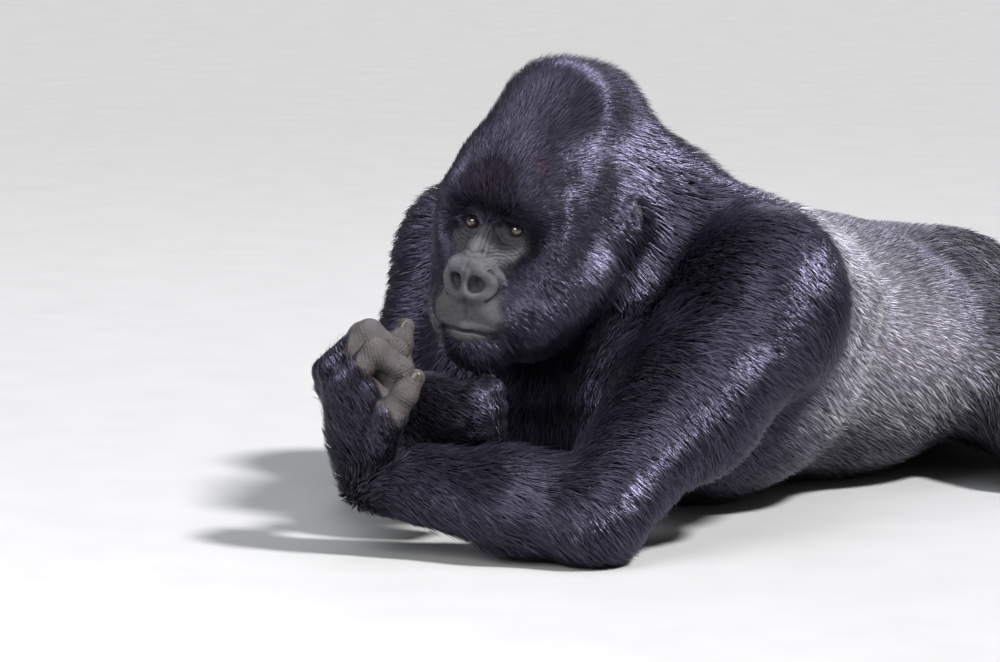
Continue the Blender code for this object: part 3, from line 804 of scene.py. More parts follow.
@dataclass
class Foot(BodyPart):
    """A foot that lies on its upper side, sole up."""

    digits: list[Digit] = field(default_factory=list)
    bare_group: Group = field(default_factory=lambda: Group([]))

    @classmethod
    def make(cls, side: Side) -> "Foot":
        """The foot of one side."""
        ankle, toes = np.array(ANKLE, float), np.array(TOES, float)
        heel, ball = ankle + (1.0, 4.5, 2.2), ankle + (toes - ankle) * 0.6
        forms = [
            Rod(ANKLE, tuple(heel), 3.9, 3.3, coat=0.5, blend=2),
            Rod(tuple(heel), tuple(ball + (2.4, 0, 0.6)), 3.1, 2.5, coat=0.3, blend=2.5),
            Rod(ANKLE, tuple(ball - (2.4, 0, 0)), 3.5, 2.5, coat=0.3, blend=2.5),
        ]
        digits = []
        for place in range(4):
            root = ball + (-2.6 + 2.1 * place, 1.0 - 0.7 * place, 0.2)
            tip = root + (toes - ball) * (0.95 - 0.09 * place) + (0.3 * place - 0.4, 0, 0.2)
            bend = (root + tip) / 2 + (0, 0, 0.7)
            width = 1.5 - 0.07 * place
            digits.append(Digit([tuple(root), tuple(bend), tuple(tip)], [width * 1.1, width, width * 0.9]))
        big_toe = [ball + (-3.8, -7.5, 0.6), ball + (-6.4, -3.4, 0.2), ball + (-7.4, 0.8, -0.2)]
        digits.append(Digit([tuple(joint) for joint in big_toe], [2.3, 1.9, 1.5]))
        toe_forms = [form for one in digits for form in one.forms()]
        start, end = ANKLE, TOES
        if side is Side.RIGHT:
            forms, toe_forms = [form.mirrored() for form in forms], [form.mirrored() for form in toe_forms]
            digits = [Digit([across(joint) for joint in one.joints], one.radii) for one in digits]
            start, end = across(ANKLE), across(TOES)
        part = cls(Kind.FOOT, Group(forms + toe_forms), side, start, end, 1.5)
        part.digits, part.bare_group = digits, Group(toe_forms)
        return part

    def bareness(self, points: np.ndarray, normals: np.ndarray) -> np.ndarray:
        """Bare on the toes and the sole."""
        return np.maximum(ease(self.bare_group.distance(points), 0.7, 0.05), ease(normals[:, 2], -0.1, 0.25))


@dataclass
class Body:
    """All the parts under one blend."""

    parts: list[BodyPart]
    groove: Group
    say: float = 1.1  # how fast a part's say falls off away from it
    neck_blend: float = 2.5
    root_blend: float = 5.0  # shoulder or hip into the trunk
    joint_blend: float = 3.0  # elbow or knee
    end_blend: float = 2.0  # wrist or ankle
    rest_blend: float = 0.4  # a limb against what it rests on
    groove_blend: float = 1.2
    flattest: float = 0.25  # the least slope squared that a step is worked out with
    stride: float = 0.8

    @classmethod
    def make(cls) -> "Body":
        """The whole animal."""
        parts: list[BodyPart] = [Trunk.make(), Head.make()]
        for side in Side:
            parts += [*Arm.make(side), Hand.make(side), *Leg.make(side), Foot.make(side)]
        furrow = rods(GROOVE, [1.6, 1.9, 1.9, 1.6], blend=1.0)
        return cls(parts, Group(furrow, EYE_MIDPOINT, HEAD_TURN, both_sides=True))

    @property
    def head(self) -> Head:
        """The head."""
        return self.parts[1]

    def distances(self, points: np.ndarray, coat: float = 0.0) -> np.ndarray:
        """One column of distances for each part."""
        return np.stack([part.group.distance(points, coat) for part in self.parts], axis=1)

    def of_kind(self, *kinds: Kind) -> list[tuple[int, BodyPart]]:
        """The parts of some kinds, each with its column among the shares."""
        return [(column, part) for column, part in enumerate(self.parts) if part.kind in kinds]

    def distance(self, points: np.ndarray, coat: float = 0.0) -> np.ndarray:
        """Signed distance from the whole body.

        Args:
            points: Places in the body frame.
            coat: 0 for the flesh, 1 for the outside of the coat.

        Returns:
            One distance for each place.
        """
        if len(points) < FEW:
            return self.blended(points, coat)
        with ThreadPoolExecutor(WORKERS) as pool:
            shares = np.array_split(points, 2 * WORKERS)
            return np.concatenate(list(pool.map(lambda some: self.blended(some, coat), shares)))

    def blended(self, points: np.ndarray, coat: float) -> np.ndarray:
        """The blend of all the parts' distances.

        Args:
            points: Places in the body frame.
            coat: 0 for the flesh, 1 for the outside of the coat.

        Returns:
            One distance for each place.
        """
        each = self.distances(points, coat).T
        total = smooth_least(each[0], each[1], self.neck_blend)
        for first in range(2, len(each), 3):
            near, far, end = each[first : first + 3]
            total = smooth_least(total, near, self.root_blend)
            limb = smooth_least(smooth_least(near, far, self.joint_blend), end, self.end_blend)
            total = smooth_least(total, limb, self.rest_blend)
        return total if coat else -smooth_least(-total, self.groove.distance(points), self.groove_blend)

    def slope(self, points: np.ndarray, height: np.ndarray) -> np.ndarray:
        """The gradient of the distance at each place."""
        steps = [self.distance(points + NUDGE * axis) - height for axis in np.eye(3)]
        return np.stack(steps, axis=1) / NUDGE

    def settled(self, points: np.ndarray, rounds: int) -> np.ndarray:
        """The points moved along the slope until they lie on the flesh.

        Args:
            points: Places near the flesh.
            rounds: How many steps to take.

        Returns:
            The moved points.
        """
        for _ in range(rounds):
            height = self.distance(points)
            slope = self.slope(points, height)
            step = -(height / np.maximum((slope**2).sum(axis=1), self.flattest))[:, None] * slope
            points = points + np.clip(step, -self.stride, self.stride)
        return points

    def shares(self, points: np.ndarray) -> np.ndarray:
        """How much each part has a say at each place; each row adds up to 1."""
        each = self.distances(points)
        weight = np.exp(-(each - each.min(axis=1, keepdims=True)) / self.say)
        return weight / weight.sum(axis=1, keepdims=True)


# ---------------------------------------------------------------- finishes


class Sheet:
    """A material's nodes, added one at a time."""

    def __init__(self, name: str) -> None:
        """Starts a material with an empty node tree."""
        self.material = bpy.data.materials.new(name)
        self.material.use_nodes = True
        self.nodes = self.material.node_tree.nodes
        self.links = self.material.node_tree.links
        self.shader = self.nodes["Principled BSDF"]

    def add(self, kind: str, inputs: dict | None = None, **settings: object) -> bpy.types.Node:
        """Adds a node.

        Args:
            kind: The node's type, without its prefix.
            inputs: Values or sockets for its inputs, by name or number.
            settings: Properties of the node.

        Returns:
            The new node.
        """
        node = self.nodes.new("ShaderNode" + kind)
        for key, value in settings.items():
            setattr(node, key, value)
        for key, value in (inputs or {}).items():
            self.join(value, node.inputs[key])
        return node

    def join(self, value: object, socket: bpy.types.NodeSocket) -> None:
        """Links a socket to an input, or sets the input's value."""
        if isinstance(value, bpy.types.NodeSocket):
            self.links.new(value, socket)
        else:
            socket.default_value = value

    def number(self, name: str) -> bpy.types.NodeSocket:
        """A number carried by the mesh."""
        return self.add("Attribute", attribute_name=name).outputs["Fac"]

    def noise(self, scale: float, detail: float = 3.0) -> bpy.types.NodeSocket:
        """Noise over the object's own space, in bumps to the metre."""
        place = self.add("TexCoord").outputs["Object"]
        return self.add("TexNoise", {"Vector": place, "Scale": scale, "Detail": detail}).outputs["Fac"]

    def plates(self, scale: float) -> bpy.types.NodeSocket:
        """How far each place is from the edge of its plate, in plates to the metre."""
        place = self.add("TexCoord").outputs["Object"]
        cells = self.add("TexVoronoi", {"Vector": place, "Scale": scale}, feature="DISTANCE_TO_EDGE")
        return cells.outputs["Distance"]

    def spread(self, value: bpy.types.NodeSocket, low: float, high: float, to_low: float = 0.0,
               to_high: float = 1.0) -> bpy.types.NodeSocket:
        """Maps a range of a number onto another range."""
        return self.add("MapRange", {0: value, 1: low, 2: high, 3: to_low, 4: to_high}).outputs[0]

    def times(self, one: object, other: object) -> bpy.types.NodeSocket:
        """The product of two numbers."""
        return self.add("Math", {0: one, 1: other}, operation="MULTIPLY").outputs[0]

    def plus(self, one: object, other: object) -> bpy.types.NodeSocket:
        """The sum of two numbers."""
        return self.add("Math", {0: one, 1: other}, operation="ADD").outputs[0]

    def mix(self, share: object, one: object, other: object) -> bpy.types.NodeSocket:
        """A colour between two."""
        node = self.add("Mix", data_type="RGBA")
        self.join(share, node.inputs[0])
        self.join(one if isinstance(one, bpy.types.NodeSocket) else (*one, 1), node.inputs[6])
        self.join(other if isinstance(other, bpy.types.NodeSocket) else (*other, 1), node.inputs[7])
        return node.outputs[2]

    def bump(self, height: bpy.types.NodeSocket, strength: float, depth: float) -> None:
        """Bumps on the shader's normal."""
        node = self.add("Bump", {"Strength": strength, "Distance": depth, "Height": height})
        self.links.new(node.outputs[0], self.shader.inputs["Normal"])

    def set(self, **values: object) -> None:
        """Sets the shader's own sockets; an underscore in a name is a space."""
        for key, value in values.items():
            self.join(value, self.shader.inputs[key.replace("_", " ")])


Colour = tuple[float, float, float]


@dataclass(frozen=True)
class CoatFinish:
    """Black hair with a cool sheen, silver over the saddle."""

    black: Colour = (0.0044, 0.004, 0.0068)
    worn: Colour = (0.026, 0.023, 0.031)
    silver: Colour = (0.60, 0.59, 0.63)
    grey: Colour = (0.050, 0.048, 0.056)
    ruddy: Colour = (0.05, 0.012, 0.011)
    roughness: float = 0.31
    gloss_tint: Colour = (0.71, 0.66, 1.0)
    sheen_tint: Colour = (0.62, 0.58, 1.0)

    def material(self) -> bpy.types.Material:
        """The coat's material."""
        sheet = Sheet("coat of black hair")
        shade, silver, ruddy = sheet.number("shade"), sheet.number("silver"), sheet.number("ruddy")
        black = sheet.mix(shade, self.black, self.worn)
        pale = sheet.mix(shade, self.grey, self.silver)
        colour = sheet.mix(silver, black, pale)
        colour = sheet.mix(ruddy, colour, self.ruddy)
        # the shade number sets both colour and gloss, and carries the painted shade beside the mouth
        sheet.set(Base_Color=colour, Roughness=self.roughness,
                  Specular_IOR_Level=sheet.spread(shade, 0.0, 1.0, 0.42, 1.0),
                  Specular_Tint=(*self.gloss_tint, 1), Sheen_Weight=0.03, Sheen_Roughness=0.4,
                  Sheen_Tint=(*self.sheen_tint, 1))
        return sheet.material


@dataclass(frozen=True)
class SkinFinish:
    """Grey-black leathery skin, browner on the lips and hands, dark felt under the coat, and painted shade in
    the folds, eye sockets and nostrils and on the lower lip.
    """

    under: Colour = (0.004, 0.0036, 0.005)
    under_silver: Colour = (0.12, 0.115, 0.125)
    grey: Colour = (0.092, 0.091, 0.097)
    # dark pores, and the colour of the painted shade in the folds, sockets, nostrils and lower lip
    dark: Colour = (0.015, 0.013, 0.015)
    brown: Colour = (0.062, 0.050, 0.042)
    roughness: float = 0.42

    def material(self) -> bpy.types.Material:
        """The skin's material."""
        sheet = Sheet("grey leathery skin")
        bare, silver, brown = sheet.number("bare"), sheet.number("silver"), sheet.number("brown")
        creases_and_painted_shade = sheet.number("creases_and_painted_shade")
        blotch = sheet.spread(sheet.noise(60, 4), 0.35, 0.68)
        flesh = sheet.mix(blotch, tuple(0.72 * part for part in self.grey), self.grey)
        flesh = sheet.mix(brown, flesh, self.brown)
        # painted shade: the folds, eye sockets, nostrils and lower lip are darkened
        flesh = sheet.mix(creases_and_painted_shade, flesh, self.dark)
        pore = sheet.spread(sheet.plates(900.0), 0.0, 0.25)
        flesh = sheet.mix(sheet.spread(pore, 0.0, 1.0, 0.35, 0.0), flesh, self.dark)
        felt = sheet.mix(silver, self.under, self.under_silver)
        colour = sheet.mix(bare, felt, flesh)
        rough = sheet.spread(sheet.noise(220, 3), 0.3, 0.7, self.roughness - 0.06, self.roughness + 0.14)
        sheet.set(Base_Color=colour, Roughness=sheet.plus(rough, sheet.spread(bare, 0.2, 0.9, 0.3, 0.0)),
                  Specular_IOR_Level=sheet.spread(bare, 0.2, 0.9, 0.06, 0.45))
        plate = sheet.spread(sheet.plates(400.0), 0.0, 0.22)
        leather = sheet.times(plate, sheet.spread(brown, 0.2, 0.6, 0.2, 0.7))
        fine = sheet.plus(sheet.times(pore, 0.5), sheet.plus(sheet.noise(420, 5), leather))
        sheet.bump(fine, 0.6, 0.0013)
        return sheet.material


@dataclass(frozen=True)
class EyeFinish:
    """A wet dark-brown eye with an amber iris."""

    white: Colour = (0.014, 0.009, 0.007)
    rim: Colour = (0.005, 0.003, 0.002)
    iris: Colour = (0.030, 0.013, 0.007)
    inner: Colour = (0.055, 0.026, 0.013)
    pupil: Colour = (0.001, 0.001, 0.001)

    def material(self) -> bpy.types.Material:
        """The eye's material, banded by the angle from the gaze."""
        sheet = Sheet("wet brown eye")
        angle = sheet.number("angle")
        streak = sheet.noise(900, 3)
        ring = sheet.plus(angle, sheet.spread(streak, 0.3, 0.7, -0.02, 0.02))
        colour = sheet.mix(sheet.spread(ring, 0.15, 0.42), self.inner, self.iris)
        colour = sheet.mix(sheet.spread(ring, 0.40, 0.47), colour, self.rim)
        colour = sheet.mix(sheet.spread(ring, 0.50, 0.62), colour, self.white)
        colour = sheet.mix(sheet.spread(angle, 0.155, 0.125), colour, self.pupil)
        sheet.set(Base_Color=colour, Roughness=0.06, Specular_IOR_Level=0.7, Coat_Weight=1.0,
                  Coat_Roughness=0.02)
        return sheet.material


@dataclass(frozen=True)
class NailFinish:
    """Dark horn with paler flecks."""

    dark: Colour = (0.022, 0.017, 0.015)
    pale: Colour = (0.060, 0.048, 0.042)

    def material(self) -> bpy.types.Material:
        """The nails' material."""
        sheet = Sheet("dark nail horn")
        streak = sheet.noise(700, 3)
        sheet.set(Base_Color=sheet.mix(sheet.spread(streak, 0.3, 0.7), self.dark, self.pale), Roughness=0.3)
        sheet.bump(streak, 0.3, 0.0004)
        return sheet.material


@dataclass(frozen=True)
class FloorFinish:
    """Pale matt studio floor."""

    colour: Colour = (0.36, 0.36, 0.355)

    def material(self) -> bpy.types.Material:
        """The floor's material."""
        sheet = Sheet("pale studio floor")
        mottle = sheet.spread(sheet.noise(9, 2), 0.3, 0.7)
        sheet.set(Base_Color=sheet.mix(mottle, self.colour, tuple(0.95 * part for part in self.colour)),
                  Roughness=0.85)
        return sheet.material


# ---------------------------------------------------------------- meshes


@dataclass
class Placer:
    """Writes meshes in metres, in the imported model's frame."""

    shift: np.ndarray

    @classmethod
    def from_eyes(cls, head: Head) -> "Placer":
        """Finds the frame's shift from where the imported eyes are."""
        corners = np.array([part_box("left_eye"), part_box("right_eye")])
        middle = corners.reshape(-1, 3).mean(axis=0) / CM
        return cls(middle - np.array(head.group.placed((0, EYE_DEPTH, 0))))

    def metres(self, points: np.ndarray) -> np.ndarray:
        """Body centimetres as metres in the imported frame."""
        return (points + self.shift) * CM

    def write(self, name: str, points: np.ndarray, faces: np.ndarray, numbers: dict[str, np.ndarray],
              material: bpy.types.Material, patches: np.ndarray | None = None) -> bpy.types.Object:
        """Makes an object from arrays.

        Args:
            name: The piece's name.
            points: Places in the body frame.
            faces: Three point numbers for each triangle.
            numbers: Numbers carried by the points, by name.
            material: The finish.
            patches: Baking coordinates, one for each point.

        Returns:
            The object, linked to the scene.
        """
        mesh = bpy.data.meshes.new(name)
        mesh.vertices.add(len(points))
        mesh.vertices.foreach_set("co", self.metres(points).astype(np.float32).ravel())
        mesh.loops.add(faces.size)
        mesh.loops.foreach_set("vertex_index", faces.astype(np.int32).ravel())
        mesh.polygons.add(len(faces))
        mesh.polygons.foreach_set("loop_start", np.arange(0, faces.size, 3, dtype=np.int32))
        mesh.polygons.foreach_set("use_smooth", np.ones(len(faces), bool))
        if patches is not None:
            layer = mesh.uv_layers.new(name="OFBake")
            layer.data.foreach_set("uv", patches[faces.ravel()].astype(np.float32).ravel())
        for key, values in numbers.items():
            mesh.attributes.new(key, "FLOAT", "POINT").data.foreach_set("value", values.astype(np.float32))
        mesh.update(calc_edges=True)
        mesh.materials.append(material)
        made = bpy.data.objects.new(name, mesh)
        bpy.context.scene.collection.objects.link(made)
        return made


def seed_shells(group: Group) -> bmesh.types.BMesh:
    """Makes the group's forms as overlapping closed shells.

    Args:
        group: The forms.

    Returns:
        The shells, in centimetres in the body frame.
    """
    built = bmesh.new()
    for form in group.forms:
        if form.hollow:
            continue
        shell = bmesh.new()
        for centre, radii in form.balls():
            placed = Matrix.Translation(centre) @ form.rotation().to_4x4() @ Matrix.Diagonal((*radii, 1))
            bmesh.ops.create_icosphere(shell, subdivisions=3, radius=1, matrix=placed)
        hull = bmesh.ops.convex_hull(shell, input=shell.verts)
        inside = [item for item in hull["geom_interior"] if isinstance(item, bmesh.types.BMVert)]
        bmesh.ops.delete(shell, geom=inside, context="VERTS")
        place = Matrix.Translation(Vector(group.origin)) @ group.rotation().to_4x4()
        for flip in (1, -1) if group.both_sides else (1,):
            copy = shell.copy()
            copy.transform(place @ Matrix.Diagonal((flip, 1, 1, 1)))
            if flip < 0:
                bmesh.ops.reverse_faces(copy, faces=copy.faces)
            part = bpy.data.meshes.new("shell")
            copy.to_mesh(part)
            built.from_mesh(part)
            bpy.data.meshes.remove(part)
            copy.free()
        shell.free()
    return built


def changed(mesh: bpy.types.Mesh, kind: str, **settings: object) -> bpy.types.Mesh:
    """Puts one modifier on a mesh.

    Args:
        mesh: The mesh, which is let go.
        kind: The modifier's type.
        settings: Properties of the modifier.

    Returns:
        The new mesh.
    """
    maker = bpy.data.objects.new("maker", mesh)
    bpy.context.scene.collection.objects.link(maker)
    modifier = maker.modifiers.new(kind.title(), kind)
    for setting, value in settings.items():
        setattr(modifier, setting, value)
    graph = bpy.context.evaluated_depsgraph_get()
    result = bpy.data.meshes.new_from_object(maker.evaluated_get(graph))
    bpy.data.objects.remove(maker)
    bpy.data.meshes.remove(mesh)
    return result


def places_of(mesh: bpy.types.Mesh) -> np.ndarray:
    """The mesh's points, one row each."""
    points = np.empty(len(mesh.vertices) * 3)
    mesh.vertices.foreach_get("co", points)
    return points.reshape(-1, 3)


def arrays_of(mesh: bpy.types.Mesh) -> tuple[np.ndarray, np.ndarray]:
    """Turns a mesh into arrays.

    Args:
        mesh: The mesh, which is let go.

    Returns:
        Its points and its triangles.
    """
    mesh.calc_loop_triangles()
    faces = np.empty(len(mesh.loop_triangles) * 3, np.int32)
    mesh.loop_triangles.foreach_get("vertices", faces)
    points = places_of(mesh)
    bpy.data.meshes.remove(mesh)
    return points, faces.reshape(-1, 3)


def squares_of(corners: np.ndarray) -> np.ndarray:
    """For each triangle the vector that is square to it and twice its area long."""
    return np.cross(corners[:, 1] - corners[:, 0], corners[:, 2] - corners[:, 0])


def normals_of(points: np.ndarray, faces: np.ndarray) -> np.ndarray:
    """Normals at the points, each the sum of its triangles' own.

    Args:
        points: The mesh's points.
        faces: Its triangles.

    Returns:
        One direction for each point.
    """
    square = squares_of(points[faces])
    total = np.zeros_like(points)
    for corner in range(3):
        for axis in range(3):
            total[:, axis] += np.bincount(faces[:, corner], weights=square[:, axis], minlength=len(points))
    return unit(total)


def without_flaps(faces: np.ndarray) -> np.ndarray:
    """The triangles less any that lie back to back on the same three points."""
    _, number, times = np.unique(np.sort(faces, axis=1), axis=0, return_inverse=True, return_counts=True)
    return faces[times[number.ravel()] == 1]


def split(mesh: bpy.types.Mesh, chosen: np.ndarray) -> None:
    """Halves every edge that joins two of the chosen points; new points come last.

    Args:
        mesh: The mesh.
        chosen: One flag for each of its points.
    """
    built = bmesh.new()
    built.from_mesh(mesh)
    built.verts.ensure_lookup_table()
    picked = set(np.nonzero(chosen)[0].tolist())
    edges = [edge for edge in built.edges if all(vertex.index in picked for vertex in edge.verts)]
    bmesh.ops.subdivide_edges(built, edges=edges, cuts=1, use_grid_fill=True)
    built.to_mesh(mesh)
    built.free()


@dataclass
class Skin:
    """One closed skin over the whole body, finer over the face and hands."""

    body: Body
    voxel: float = 0.62
    coarse_voxel: float = 1.8
    first_voxel: float = 1.3  # of the first closed mesh, as a share of the voxel
    refinements: int = 3
    points: np.ndarray = field(default_factory=lambda: np.zeros((0, 3)))
    faces: np.ndarray = field(default_factory=lambda: np.zeros((0, 3), int))
    normals: np.ndarray = field(default_factory=lambda: np.zeros((0, 3)))
    numbers: dict[str, np.ndarray] = field(default_factory=dict)
    shares: np.ndarray = field(default_factory=lambda: np.zeros((0, 1)))
    ways: np.ndarray = field(default_factory=lambda: np.zeros((0, 3)))
    lengths: np.ndarray = field(default_factory=lambda: np.zeros(0))
    depths: np.ndarray = field(default_factory=lambda: np.zeros(0))
    fluff: np.ndarray = field(default_factory=lambda: np.zeros(0))
    coarse: tuple[np.ndarray, np.ndarray] = (np.zeros((0, 3)), np.zeros((0, 3), int))

    def build(self) -> None:
        """Meshes the body, refines it and works out what each point carries."""
        mesh = bpy.data.meshes.new("skin shells")
        joined = bmesh.new()
        for part in self.body.parts:
            shells = seed_shells(part.group)
            shells.to_mesh(mesh)
            joined.from_mesh(mesh)
            shells.free()
        joined.to_mesh(mesh)
        joined.free()
        mesh = changed(mesh, "REMESH", mode="VOXEL", voxel_size=self.voxel * self.first_voxel)
        mesh.vertices.foreach_set("co", self.body.settled(places_of(mesh), 3).ravel())
        mesh.update()
        thin = changed(mesh.copy(), "REMESH", mode="VOXEL", voxel_size=self.coarse_voxel)
        self.coarse = arrays_of(thin)
        mesh = self.refined(changed(mesh, "REMESH", mode="VOXEL", voxel_size=self.voxel))
        self.points, self.faces = arrays_of(mesh)
        self.normals = normals_of(self.points, self.faces)
        self.carry()
        self.creases_and_painted_shade()
        self.points[:, 2] = np.maximum(self.points[:, 2], SKIN_LOW)

    def refined(self, mesh: bpy.types.Mesh) -> bpy.types.Mesh:
        """Splits the skin where it has to be fine, and settles it on the flesh each time.

        Args:
            mesh: The skin at its coarsest.

        Returns:
            The skin with its final faces.
        """
        mesh.vertices.foreach_set("co", self.body.settled(places_of(mesh), 2).ravel())
        for level in range(self.refinements):
            chosen = self.fine_places(places_of(mesh), level)
            split(mesh, chosen)
            points = places_of(mesh)
            moved = np.ones(len(points), bool)
            moved[: len(chosen)] = chosen
            points[moved] = self.body.settled(points[moved], 2)
            mesh.vertices.foreach_set("co", points.ravel())
        mesh.update()
        return mesh

    def fine_places(self, points: np.ndarray, level: int) -> np.ndarray:
        """Which points lie where the skin is made finer.

        Args:
            points: The skin's points.
            level: 0 takes in the face, ears, fists and feet, 1 leaves out the feet and the right fist, and
                2 takes in only the eyes, nose and mouth.

        Returns:
            One flag for each point.
        """
        local = self.body.head.halved(points)
        x, y, z = local.T
        if level == 2:
            eye = within(local, (EYE_SPREAD, -1.0, 0.0), (2.3, 2.2, 1.9)) < 1
            nose = within(local, (2.0, -6.0, -6.2), (2.6, 3.0, 2.6)) < 1
            beside_nose = (np.hypot(x / 5.8, (z + 3.6) / 4.2) < 1) & (y < 3.0)
            mouth = (np.abs(z + 12.9) < 1.1) & (x < 6.2) & (y < 0.0)
            return eye | nose | beside_nose | mouth
        chosen = (np.hypot(x / 6.6, (z + 6.0) / 9.6) < 1) & (y < 4.0)
        chosen |= (np.linalg.norm(local - EAR, axis=1) < 3.4) & (x > 9.6)
        feet = self.body.of_kind(Kind.FOOT) if level == 0 else []
        for _, part in self.body.of_kind(Kind.HAND)[: 2 - level] + feet:
            chosen |= part.group.distance(points) < 0.5
        return chosen

    def carry(self) -> None:
        """Works out shares, lie, length, depth and markings at each point."""
        points, normals = self.points, self.normals
        self.shares = self.body.shares(points)
        ways = np.zeros_like(points)
        lengths, bare, fluff = np.zeros(len(points)), np.zeros(len(points)), np.zeros(len(points))
        least_share, thinnest, thickest = 0.02, 0.05, 2.4
        for column, part in enumerate(self.body.parts):
            held = self.shares[:, column] > least_share
            share = self.shares[held, column]
            ways[held] += share[:, None] * unit(part.flow(points[held], normals[held]))
            lengths[held] += share * part.lengths(points[held])
            bare[held] += share * part.bareness(points[held], normals[held])
            fluff[held] += share * part.fluff(points[held])
        self.ways = unit(ways - (ways * normals).sum(axis=1, keepdims=True) * normals)
        self.lengths, self.fluff = lengths, fluff
        self.depths = np.clip(-self.body.distance(points, 1.0), thinnest, thickest)
        self.numbers = {"bare": np.clip(bare, 0, 1), "silver": self.silver(points),
                        "brown": self.brown(points), "creases_and_painted_shade": np.zeros(len(points))}

    def silver(self, points: np.ndarray) -> np.ndarray:
        """How silver the coat is: the saddle behind the shoulders, fading over the rump and belly.

        Args:
            points: Places on the skin.

        Returns:
            One share for each place.
        """
        _, y, z = points.T
        front = ease(y + 1.5 * ripple(points, 16, 11), -2.0, 7.0)
        rump = 1 - 0.72 * ease(y + 2.5 * ripple(points, 9, 12) + 0.3 * (z - 30), 27, 44)
        low = ease(z + 2.0 * ripple(points, 10, 13), 5, 15)
        columns = [column for column, _ in self.body.of_kind(Kind.UPPER_ARM, Kind.FOREARM)]
        arms = 1 - self.shares[:, columns].sum(axis=1) * ease(y, 6, 0)
        return np.clip(front * rump * (0.25 + 0.75 * low) * arms, 0, 1)

    def brown(self, points: np.ndarray) -> np.ndarray:
        """How brown the bare skin is: the lower lip, chin and hands."""
        local = self.body.head.group.local(points)
        chin = ease(local[:, 2], -12.0, -13.2) * ease(local[:, 1], 2, -1)
        total = 0.45 * chin * (self.shares[:, 1] > 0.5)
        mottled = 0.65 + 0.25 * ripple(points, 3, 17)
        for column, _ in self.body.of_kind(Kind.HAND, Kind.FOOT):
            total += self.shares[:, column] * mottled
        return np.clip(total, 0, 1)

    def creases_and_painted_shade(self) -> None:
        """Presses the folds of the face and the creases of the knuckles into the skin, and paints shade into
        them and into the eye sockets, the nostrils and the lower lip.
        """
        head = self.body.head
        local = head.halved(self.points)
        turned = self.normals @ np.array(head.group.rotation())
        facing = ease(-turned[:, 1], 0.05, 0.35) * ease(local[:, 1], 4.5, 2.5) * (self.shares[:, 1] > 0.5)
        chosen = facing > 0
        flat = np.stack([local[chosen, 0], local[chosen, 2]], axis=1)
        sink = self.knuckle_creases()
        sink[chosen] += facing[chosen] * np.sum([fold.sink(flat) for fold in head.folds], axis=0)
        self.points = self.points - sink[:, None] * self.normals
        self.numbers["creases_and_painted_shade"] = self.painted_shade(local, facing, sink)

    def knuckle_creases(self) -> np.ndarray:
        """How far the creases across the knuckles sink at each point."""
        depth, gap, reach = 0.12, 0.42, 2.0
        sink = np.zeros(len(self.points))
        for column, part in self.body.of_kind(Kind.HAND, Kind.FOOT):
            held = self.shares[:, column] > 0.5
            points = self.points[held]
            uneven = ripple(points, 1.6, 31)
            for one in part.digits:
                for joint, before, after in zip(one.joints[1:-1], one.joints, one.joints[2:]):
                    away = points - joint
                    near = np.exp(-((np.linalg.norm(away, axis=1) / reach) ** 4))
                    wave = np.sin(2 * math.pi * (away @ heading(before, after)) / gap + uneven)
                    sink[held] += depth * near * (0.5 + 0.5 * wave)
        return sink

    def painted_shade(self, local: np.ndarray, facing: np.ndarray, sink: np.ndarray) -> np.ndarray:
        """How much shade is painted on the skin in its folds, sockets and nostrils and on the lower lip.

        Args:
            local: The points in the head's frame, the right half laid over the left.
            facing: How much each point belongs to the front of the face.
            sink: How far each point is pressed in.

        Returns:
            One share for each point.
        """
        # painted shade round each eye socket, inside the nostrils, on the upturned lower lip and along every
        # fold
        across_socket = np.stack([(local[:, 0] - EYE_SPREAD) / 2.3, (local[:, 2] - 0.15) / 1.6], axis=1)
        socket = 0.72 * np.exp(-((across_socket**2).sum(axis=1) ** 1.5)) * facing
        nostril = np.exp(-(within(local, (1.6, -4.7, -6.3), (1.0, 2.1, 1.0)) ** 6))
        nostril = nostril * (self.shares[:, 1] > 0.5)
        lower_lip = 0.55 * ease(local[:, 2], -12.7, -13.1) * facing
        fold = np.clip(sink / 0.2, 0, 0.85)
        return np.clip(np.max([fold, socket, nostril, lower_lip], axis=0), 0, 1)

    def dress(self, placer: Placer, material: bpy.types.Material) -> bpy.types.Object:
        """Writes the skin and hides the solids it stands for."""
        made = placer.write("skin", self.points, without_flaps(self.faces), self.numbers, material)
        flesh = [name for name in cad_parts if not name.endswith("_eye")]
        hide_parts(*flesh)
        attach(made, "root")
        return made


# ---------------------------------------------------------------- the coat


@dataclass(frozen=True)
class Lock:
    """Sizes of one kind of tuft."""

    width: float
    stray: float
    clump: float
    bends: int = 1

    @property
    def sections(self) -> int:
        """How many cross-sections a tuft has below its tip."""
        return self.bends + 1

    @property
    def points(self) -> int:
        """How many points a tuft has."""
        return 3 * self.sections + 1

    def triangles(self, count: int) -> np.ndarray:
        """The triangles of many ridged tufts: two strips of each section and a tip."""
        one = []
        for ring in range(self.sections - 1):
            for left in (3 * ring, 3 * ring + 1):
                a, b, c, d = left, left + 1, left + 4, left + 3
                one += [(a, b, c), (a, c, d)]
        tip = self.points - 1
        one += [(tip - 3, tip - 2, tip), (tip - 2, tip - 1, tip)]
        return (np.array(one)[None] + (np.arange(count) * self.points)[:, None, None]).reshape(-1, 3)

    def patch(self, size: float = 0.003) -> np.ndarray:
        """The small baking patch of one tuft, one row for each of its points."""
        across_tuft = np.append(np.tile([0, 0.5, 1], self.sections), 0.5)
        along_tuft = np.append(np.repeat(np.arange(self.sections) / self.sections, 3), 1.0)
        return size * np.stack([across_tuft, along_tuft], axis=1)


